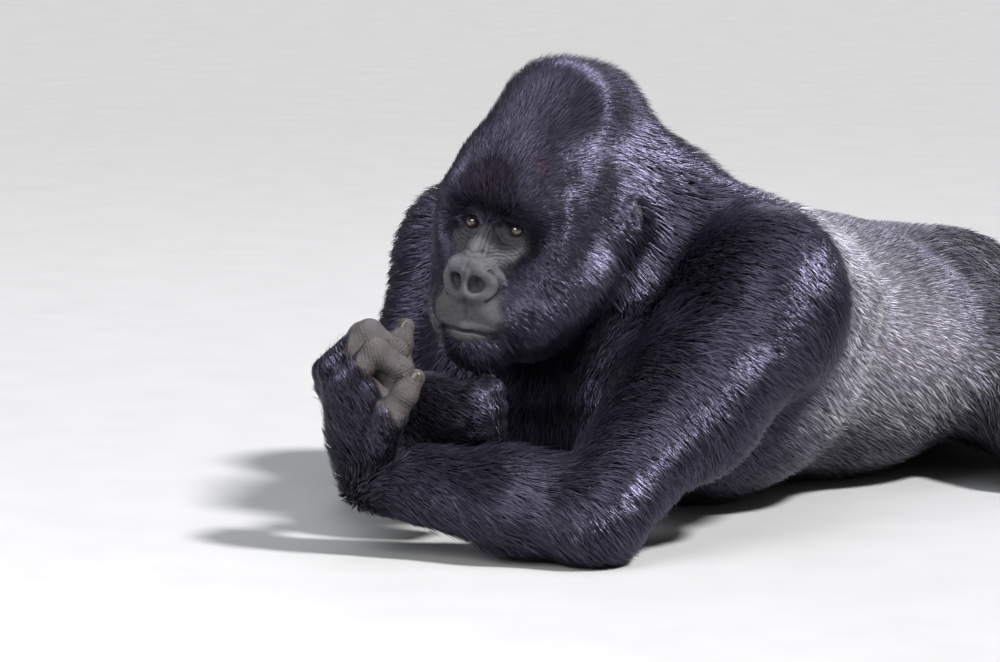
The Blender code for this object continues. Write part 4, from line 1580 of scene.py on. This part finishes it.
@dataclass(frozen=True)
class Stand:
    """Where the tufts of one piece stand on the skin: three points of the skin each, and their weights."""

    skin: Skin
    corners: np.ndarray
    weights: np.ndarray

    def at(self, values: np.ndarray) -> np.ndarray:
        """A number or vector of the skin at each root."""
        shaped = self.weights if values.ndim == 1 else self.weights[:, :, None]
        return (values[self.corners] * shaped).sum(axis=1)

    @property
    def roots(self) -> np.ndarray:
        """The roots themselves."""
        return self.at(self.skin.points)

    @property
    def normals(self) -> np.ndarray:
        """The skin's normal at each root."""
        return unit(self.at(self.skin.normals))


@dataclass
class CoatPiece:
    """The tufts of one stretch of the body."""

    name: str
    kinds: tuple[Kind, ...]
    side: Side | None
    slot: str
    lock: Lock
    tufts: int
    low: float = -math.inf
    high: float = math.inf
    axis: int = 1

    def holds(self, body: Body, points: np.ndarray, faces: np.ndarray, shares: np.ndarray) -> np.ndarray:
        """Which triangles lie in this stretch.

        Args:
            body: The animal.
            points: The mesh's points.
            faces: Its triangles.
            shares: How much each part has a say at each point.

        Returns:
            One flag for each triangle.
        """
        owner = shares.argmax(axis=1)
        mine = np.array([part.kind in self.kinds and (self.side is None or part.side is self.side)
                         for part in body.parts])[owner]
        middle = points[faces].mean(axis=1)
        if Kind.HEAD in self.kinds:
            middle = body.head.group.local(middle)
        along = middle[:, self.axis]
        return mine[faces[:, 0]] & (along >= self.low) & (along < self.high)

    def stand(self, skin: Skin, draw: np.random.Generator) -> Stand:
        """Picks where the tufts stand, evenly by the skin's area and thinly on bare skin.

        Args:
            skin: The skin.
            draw: The random draws.

        Returns:
            Where they stand.
        """
        held = self.holds(skin.body, skin.points, skin.faces, skin.shares)
        faces = skin.faces[held]
        corners = skin.points[faces]
        area = np.linalg.norm(squares_of(corners), axis=1) / 2
        bare = skin.numbers["bare"][faces].mean(axis=1)
        grown = np.clip(skin.lengths[faces].mean(axis=1), 0.8, 8)
        density = (1 - ease(bare, 0.25, 0.95) * 0.96) / grown
        on_ground = corners[:, :, 2].mean(axis=1) < 0.3
        total = np.cumsum(area * np.where(on_ground, 0.0, density))
        count = self.tufts
        marks = (np.arange(count) + draw.uniform(0, 1, count)) * total[-1] / count
        chosen = np.searchsorted(total, marks).clip(0, len(faces) - 1)
        weights = -np.log(draw.uniform(1e-6, 1, (count, 3)))
        return Stand(skin, faces[chosen], weights / weights.sum(axis=1, keepdims=True))

    def build(self, skin: Skin, placer: Placer, unwrap: "Unwrap", material: bpy.types.Material,
              draw: np.random.Generator) -> bpy.types.Object:
        """Grows the tufts and writes them as one piece.

        Args:
            skin: The skin they stand on.
            placer: Writes the mesh.
            unwrap: Gives each root its place in the bake.
            material: The coat's finish.
            draw: The random draws.

        Returns:
            The coat piece.
        """
        stand = self.stand(skin, draw)
        root, count, lock = stand.roots, len(stand.corners), self.lock
        points = self.blades(*self.grown(stand, draw), stand.normals)
        numbers = {name: np.repeat(values, lock.points) for name, values in self.dyes(stand, draw).items()}
        faces = lock.triangles(count)
        patches = (unwrap.places(root)[:, None, :] + lock.patch()[None]).reshape(-1, 2)
        made = placer.write(self.name, points, faces, numbers, material, patches)
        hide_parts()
        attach(made, "root")
        LOG.info("%s: %d tufts, %d triangles", self.name, count, len(faces))
        return made

    def grown(self, stand: Stand, draw: np.random.Generator) -> tuple[np.ndarray, np.ndarray]:
        """Grows each tuft along the lie of the hair, at its own height over the flesh.

        Args:
            stand: Where the tufts stand.
            draw: The random draws.

        Returns:
            Root, bends and tip of each tuft, and its width.
        """
        skin, normal, count = stand.skin, stand.normals, len(stand.corners)
        way, fluff = unit(stand.at(skin.ways)), stand.at(skin.fluff)
        thin = 1 - 0.45 * ease(stand.at(skin.numbers["bare"]), 0.2, 0.8)
        side = unit(np.cross(normal, way))
        way = unit(way + draw.normal(0, 0.16, count)[:, None] * side)
        length = stand.at(skin.lengths) * draw.uniform(0.65, 1.25, count) * thin
        stray = draw.uniform(0, 1, count) < self.lock.stray
        rise = stand.at(skin.depths) * fluff * draw.uniform(0.4, 1.0, count)
        rise = np.minimum(rise + np.where(stray, draw.uniform(0.2, 1.1, count), 0), 0.6 * length)
        loose = ease(fluff, 1.2, 2.2)
        sections, deep = self.lock.sections, 0.12
        path = [stand.roots - deep * normal]
        for step in range(1, sections + 1):
            place = path[-1] + way * (length / sections)[:, None]
            want = rise * (1 - (1 - step / sections) ** 1.6)
            lift = np.clip(want - skin.body.distance(place), -2.2 * (1 - loose), 1.4)
            path.append(place + normal * lift[:, None])
        line = self.clumped(np.stack(path, axis=1), draw)
        line[:, :, 2] = np.maximum(line[:, :, 2], TUFT_LOW)
        width = self.lock.width * draw.uniform(0.7, 1.25, count) * np.clip(length / 2.0, 0.45, 1.0)
        return line, width * (1 - 0.4 * loose)

    def dyes(self, stand: Stand, draw: np.random.Generator) -> dict[str, np.ndarray]:
        """How worn, how silver and how ruddy each tuft is, with painted shade on the hair beside the mouth.

        Args:
            stand: Where the tufts stand.
            draw: The random draws.

        Returns:
            One share for each tuft, by name.
        """
        head, root, count = stand.skin.body.head, stand.roots, len(stand.corners)
        uneven = 0.16 * ripple(root, 5, 21), 0.2 * ripple(root, 1.3, 22)
        worn = np.clip(draw.normal(0.38, 0.3, count) + uneven[0] + uneven[1], 0, 1)
        # painted shade: the hair beside the mouth is darkened and made less glossy
        worn = worn * (1 - 0.9 * head.near(root, PAINTED_SHADE_BESIDE_MOUTH, 2.0))
        silver = np.clip(stand.at(stand.skin.numbers["silver"]) * draw.uniform(0.25, 1.35, count), 0, 1)
        local = head.group.local(root)
        ruddy = np.max([glow(local, [place], size) for place, size in RUDDY_SPOTS], axis=0)
        return {"shade": worn, "silver": silver, "ruddy": ruddy * draw.uniform(0.2, 1, count)}

    def clumped(self, line: np.ndarray, draw: np.random.Generator) -> np.ndarray:
        """Draws each tuft's end towards a neighbour's, so that the hair hangs in locks.

        Args:
            line: Root, bends and tip of each tuft.
            draw: The random draws.

        Returns:
            The lines, drawn together.
        """
        count, to_a_lock = len(line), 14
        leaders = draw.choice(count, count // to_a_lock, replace=False)
        tree = KDTree(len(leaders))
        for number, leader in enumerate(leaders):
            tree.insert(line[leader, 0], number)
        tree.balance()
        near = leaders[[tree.find(place)[1] for place in line[:, 0]]]
        pull = self.lock.clump * draw.uniform(0.3, 1.0, count)
        for step in range(1, line.shape[1]):
            share = (step / (line.shape[1] - 1)) ** 1.5
            line[:, step] += (pull * share)[:, None] * (line[near, step] - line[:, step])
        return line

    def blades(self, line: np.ndarray, width: np.ndarray, normal: np.ndarray) -> np.ndarray:
        """Raises a ridged blade along each line.

        Args:
            line: Root, bends and tip of each tuft.
            width: Width of each tuft.
            normal: The skin's normal at each root.

        Returns:
            The points of all the blades, tuft after tuft.
        """
        rings, sections, ridge = [], self.lock.sections, 0.9
        taper = np.interp(np.arange(sections) / sections, [0, 0.4, 1], [0.75, 1.0, 0.35])
        for ring in range(sections):
            ahead = unit(line[:, ring + 1] - line[:, max(ring - 1, 0)])
            out = unit(np.cross(ahead, normal))
            up = unit(np.cross(out, ahead))
            half = (width * taper[ring] / 2)[:, None]
            middle = line[:, ring]
            rings += [middle + out * half, middle + up * half * ridge, middle - out * half]
        rings.append(line[:, sections])
        return np.stack(rings, axis=1).reshape(-1, 3)


@dataclass
class Unwrap:
    """A flat unwrap of a thinned copy of the skin, for one coat piece."""

    tree: BVHTree
    corners: np.ndarray
    flat: np.ndarray

    @classmethod
    def of(cls, points: np.ndarray, faces: np.ndarray) -> "Unwrap":
        """Unwraps the chosen faces of the thinned skin so that they fill the square.

        Args:
            points: The thinned skin's points.
            faces: The triangles to unwrap.

        Returns:
            The unwrap.
        """
        used, index = np.unique(faces, return_inverse=True)
        points, faces = points[used], index.reshape(-1, 3)
        mesh = bpy.data.meshes.new("unwrap")
        mesh.from_pydata(points.tolist(), [], faces.tolist())
        mesh.uv_layers.new(name="flat")
        carrier = bpy.data.objects.new("unwrap", mesh)
        bpy.context.scene.collection.objects.link(carrier)
        bpy.context.view_layer.objects.active = carrier
        carrier.select_set(True)
        bpy.ops.object.mode_set(mode="EDIT")
        bpy.ops.mesh.select_all(action="SELECT")
        bpy.ops.uv.smart_project(angle_limit=math.radians(66), island_margin=0.004)
        bpy.ops.object.mode_set(mode="OBJECT")
        flat = np.empty(len(mesh.loops) * 2)
        mesh.uv_layers["flat"].data.foreach_get("uv", flat)
        flat = flat.reshape(-1, 3, 2)
        tree = BVHTree.FromPolygons(points.tolist(), faces.tolist())
        bpy.data.objects.remove(carrier)
        bpy.data.meshes.remove(mesh)
        return cls(tree, points[faces], flat)

    def places(self, roots: np.ndarray) -> np.ndarray:
        """Where each root falls on the unwrap.

        Args:
            roots: Places on the skin.

        Returns:
            Two coordinates for each, clear of the square's edges.
        """
        found = [self.tree.find_nearest(root) for root in roots]
        number = np.array([hit[2] for hit in found])
        spot = np.array([tuple(hit[0]) for hit in found])
        a, b, c = self.corners[number].transpose(1, 0, 2)
        whole = np.cross(b - a, c - a)
        size = np.maximum((whole**2).sum(axis=1), 1e-12)
        second = (np.cross(spot - a, c - a) * whole).sum(axis=1) / size
        third = (np.cross(b - a, spot - a) * whole).sum(axis=1) / size
        share = np.clip(np.stack([1 - second - third, second, third], axis=1), 0, 1)
        flat = (self.flat[number] * (share / share.sum(axis=1, keepdims=True))[:, :, None]).sum(axis=1)
        return np.clip(flat, 0.001, 0.995)


@dataclass
class Coat:
    """All the coat pieces."""

    seed: int = SEED

    def pieces(self) -> list[CoatPiece]:
        """The stretches of the body, with their tufts' sizes."""
        head = Lock(width=0.115, stray=0.10, clump=0.35)
        mane = Lock(width=0.14, stray=0.05, clump=0.35)
        short = Lock(width=0.12, stray=0.03, clump=0.15)
        long = Lock(width=0.155, stray=0.05, clump=0.45)
        fine = Lock(width=0.11, stray=0.04, clump=0.3)
        brow, withers, loin = 2.0, 8.0, 40.0
        skull, trunk = (Kind.HEAD,), (Kind.TRUNK,)
        found = [
            CoatPiece("coat_of_the_crown", skull, None, "coat", head, 32500, low=brow, axis=2),
            CoatPiece("coat_of_the_cheeks", skull, None, "coat", head, 32500, high=brow, axis=2),
            CoatPiece("coat_of_the_neck_and_chest", trunk, None, "coat", mane, 32000, high=withers),
            CoatPiece("coat_of_the_saddle", trunk, None, "silver_coat", short, 32500, low=withers, high=loin),
            CoatPiece("coat_of_the_rump", trunk, None, "silver_coat", short, 18000, low=loin),
        ]
        for side in Side:
            word, near = side.word, side is Side.LEFT
            found += [
                CoatPiece(f"coat_of_the_{word}_upper_arm", (Kind.UPPER_ARM,), side, "coat", long,
                          25000 if near else 12000),
                CoatPiece(f"coat_of_the_{word}_forearm", (Kind.FOREARM,), side, "coat", long,
                          14000 if near else 6000),
                CoatPiece(f"hair_of_the_{word}_hand", (Kind.HAND,), side, "coat", fine,
                          6500 if near else 4500),
                CoatPiece(f"coat_of_the_{word}_leg", (Kind.THIGH, Kind.SHIN), side, "coat", mane, 10000),
                CoatPiece(f"hair_of_the_{word}_foot", (Kind.FOOT,), side, "coat", fine, 1500),
            ]
        return found

    def build(self, skin: Skin, placer: Placer, material: bpy.types.Material) -> None:
        """Grows every piece on its own unwrap."""
        points, faces = skin.coarse
        shares = skin.body.shares(points)
        for number, piece in enumerate(self.pieces()):
            draw = np.random.default_rng(self.seed + number)
            unwrap = Unwrap.of(points, faces[piece.holds(skin.body, points, faces, shares)])
            piece.build(skin, placer, unwrap, material, draw)


# ---------------------------------------------------------------- eyes and nails


@dataclass
class Eye:
    """An eyeball with a raised cornea, turned to look the way the animal looks."""

    side: Side
    radius: float = 1.25
    cornea: float = 0.07
    cornea_reach: float = 0.62
    gaze: Point = (0.24, -1.0, -0.02)

    def build(self, head: Head, placer: Placer, material: bpy.types.Material) -> bpy.types.Object:
        """Makes the eye in its socket.

        Args:
            head: The head, whose frame it sits in.
            placer: Writes the mesh.
            material: The eye's finish.

        Returns:
            The eye.
        """
        ball = bmesh.new()
        bmesh.ops.create_icosphere(ball, subdivisions=6, radius=1)
        points = np.array([vertex.co for vertex in ball.verts])
        faces = np.array([[vertex.index for vertex in face.verts] for face in ball.faces])
        ball.free()
        look = unit(np.array([self.gaze], float))[0]
        angle = np.arccos(np.clip(points @ look, -1, 1))
        bulge = self.cornea * ease(angle, self.cornea_reach, 0.1)
        local = points * (self.radius + bulge)[:, None] + (EYE_SPREAD * self.side.value, EYE_DEPTH, 0)
        placed = local @ np.array(head.group.rotation()).T + np.array(head.group.origin)
        made = placer.write(f"{self.side.word}_eyeball", placed, faces, {"angle": angle}, material)
        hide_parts(f"{self.side.word}_eye")
        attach(made, "root")
        return made


@dataclass
class Nails:
    """A curved nail on the end of every digit of a hand or foot."""

    steps: int = 10
    thickness: float = 0.09
    lift: float = 1.07  # how far the top lies from the digit's middle, as a share of its radius

    def plate(self, one: Digit) -> tuple[np.ndarray, np.ndarray]:
        """One nail: a piece of a barrel that hugs the digit's end.

        Args:
            one: The digit.

        Returns:
            Points and triangles.
        """
        out = one.out_of_bend()
        along = heading(one.joints[-2], one.joints[-1])
        wide = np.cross(along, out)
        radius = one.radii[-1]
        middle = np.array(one.joints[-1]) - 0.1 * radius * along
        u, v = np.meshgrid(np.linspace(-1, 1, self.steps), np.linspace(-1, 1, self.steps))
        angle = 0.85 * u * (1 - 0.12 * v**2)
        reach = 0.85 * radius * v * (1 - 0.18 * u**2)
        layers = []
        for lift in (self.lift, self.lift - self.thickness / radius - 0.06):
            drop = 1 - 0.16 * np.maximum(v, 0) ** 2 - 0.05 * np.maximum(-v, 0)
            high, flat = np.cos(angle) * radius * lift * drop, np.sin(angle) * radius * lift * 0.92
            layers.append(middle + high[..., None] * out + flat[..., None] * wide + reach[..., None] * along)
        points = np.concatenate([layer.reshape(-1, 3) for layer in layers])
        return points, self.triangles()

    def triangles(self) -> np.ndarray:
        """Triangles of a closed plate of two grids and the rim between them."""
        n, count = self.steps, self.steps**2
        faces = []
        for row in range(n - 1):
            for column in range(n - 1):
                a = row * n + column
                b, c, d = a + 1, a + n + 1, a + n
                under_a, under_b, under_c, under_d = (corner + count for corner in (a, b, c, d))
                faces += [(a, b, c), (a, c, d), (under_a, under_c, under_b), (under_a, under_d, under_c)]
        rim = [*range(n), *range(2 * n - 1, n * n, n), *range(n * n - 2, n * (n - 1) - 1, -1),
               *range(n * (n - 2), 0, -n)]
        for one, other in zip(rim, rim[1:] + rim[:1]):
            faces += [(one, one + count, other + count), (one, other + count, other)]
        return np.array(faces)

    def build(self, part: Hand | Foot, placer: Placer, material: bpy.types.Material) -> bpy.types.Object:
        """Makes all the nails of one hand or foot as one piece."""
        points, faces, count = [], [], 0
        for one in part.digits:
            places, triangles = self.plate(one)
            points.append(places)
            faces.append(triangles + count)
            count += len(places)
        name = f"nails_of_the_{part.side.word}_{part.kind.value}"
        made = placer.write(name, np.concatenate(points), np.concatenate(faces), {}, material)
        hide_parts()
        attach(made, "root")
        return made


# ---------------------------------------------------------------- studio


def bearing(azimuth: float, elevation: float) -> Vector:
    """The direction that lies so many degrees round from the front towards the left, and so many up."""
    turn, high = math.radians(azimuth), math.radians(elevation)
    return Vector((math.sin(turn) * math.cos(high), -math.cos(turn) * math.cos(high), math.sin(high)))


def linked(name: str, data: bpy.types.ID) -> bpy.types.Object:
    """A new object in the scene that holds the data."""
    made = bpy.data.objects.new(name, data)
    bpy.context.scene.collection.objects.link(made)
    return made


@dataclass(frozen=True)
class Lamp:
    """A soft square light; angles in degrees, lengths in metres, power in watts."""

    name: str
    azimuth: float
    elevation: float
    away: float
    size: float
    power: float
    colour: Colour
    middle: Point = (0, -0.15, 0.25)

    def hang(self) -> None:
        """Hangs the lamp so that it faces the middle of the animal."""
        light = bpy.data.lights.new(self.name, "AREA")
        light.size, light.energy, light.color = self.size, self.power, self.colour
        made, way = linked(self.name, light), bearing(self.azimuth, self.elevation)
        made.location = Vector(self.middle) + self.away * way
        made.rotation_euler = way.to_track_quat("Z", "Y").to_euler()


@dataclass(frozen=True)
class Sun:
    """The main light: wide, even and high on the left; angles in degrees."""

    azimuth: float = 88.0
    elevation: float = 50.0
    strength: float = 7.0
    spread: float = 8.0
    colour: Colour = (1.0, 0.98, 1.0)

    def hang(self) -> None:
        """Turns the light to shine from its place."""
        light = bpy.data.lights.new("key", "SUN")
        light.energy, light.angle, light.color = self.strength, math.radians(self.spread), self.colour
        way = bearing(self.azimuth, self.elevation)
        linked("key", light).rotation_euler = way.to_track_quat("Z", "Y").to_euler()


@dataclass
class Studio:
    """Floor, soft lights and the camera; angles in degrees, lengths in metres, lens in millimetres."""

    eyes: np.ndarray
    azimuth: float = 36.0
    elevation: float = 8.0
    away: float = 6.0
    lens: float = 168.48
    sensor: float = 36.0
    eyes_at: tuple[float, float] = (-0.0036, 0.106)
    floor_half: float = 60.0
    air: Colour = (0.80, 0.83, 0.88)
    air_strength: float = 0.30
    lights: tuple[Lamp | Sun, ...] = (
        Lamp("sky", 60, 80, 3.4, 2.4, 42, (0.86, 0.90, 1.0)),
        Lamp("fill", 2, 30, 3.0, 1.8, 62, (0.97, 0.98, 1.0)),
        Lamp("rim", 225, 50, 3.4, 1.6, 22, (0.9, 0.93, 1.0)),
        Sun(),
    )

    def build(self) -> None:
        """Lays the floor, hangs the lights and sets the camera."""
        self.floor()
        for light in self.lights:
            light.hang()
        self.camera()
        world = bpy.data.worlds.new("studio")
        world.use_nodes = True
        background = world.node_tree.nodes["Background"]
        background.inputs["Color"].default_value = (*self.air, 1)
        background.inputs["Strength"].default_value = self.air_strength
        bpy.context.scene.world = world
        bpy.context.scene.view_settings.view_transform = "Standard"

    def floor(self) -> None:
        """A wide floor that the animal rests on."""
        mesh = bpy.data.meshes.new("floor")
        half = self.floor_half
        corners = [(-half, -half, 0), (half, -half, 0), (half, half, 0), (-half, half, 0)]
        mesh.from_pydata(corners, [], [(0, 1, 2, 3)])
        mesh.materials.append(FloorFinish().material())
        linked("floor", mesh)

    def camera(self) -> None:
        """Sets the camera so that the eyes fall at their place in the view."""
        turn = math.radians(self.azimuth)
        ahead = -bearing(self.azimuth, self.elevation)
        right = Vector((math.cos(turn), math.sin(turn), 0))
        up = right.cross(ahead)
        data = bpy.data.cameras.new("camera")
        data.sensor_width, data.lens, data.clip_end = self.sensor, self.lens, 150.0
        reach = self.away * self.sensor / self.lens
        aside, above = self.eyes_at
        place = Vector(self.eyes) - self.away * ahead - aside * reach * right - above * reach * up
        made = linked("camera", data)
        made.matrix_world = Matrix.Translation(place) @ Matrix((right, up, -ahead)).transposed().to_4x4()
        bpy.context.scene.camera = made


def main() -> None:
    """Builds the skin, the coat, the eyes, the nails and the studio in order."""
    logging.basicConfig(level=logging.INFO, format="%(relativeCreated)7d ms %(message)s")
    body = Body.make()
    placer = Placer.from_eyes(body.head)
    skin = Skin(body)
    skin.build()
    made = skin.dress(placer, SkinFinish().material())
    LOG.info("%s: %d triangles", made.name, len(made.data.polygons))
    Coat().build(skin, placer, CoatFinish().material())
    eye_finish, nail_finish = EyeFinish().material(), NailFinish().material()
    for side in Side:
        made = Eye(side).build(body.head, placer, eye_finish)
        LOG.info("%s: %d triangles", made.name, len(made.data.polygons))
    for _, part in body.of_kind(Kind.HAND, Kind.FOOT):
        made = Nails().build(part, placer, nail_finish)
        LOG.info("%s: %d triangles", made.name, len(made.data.polygons))
    eyes = placer.metres(np.array([body.head.group.placed((0, EYE_DEPTH, 0))]))[0]
    Studio(eyes).build()


if __name__ == "__main__":
    main()
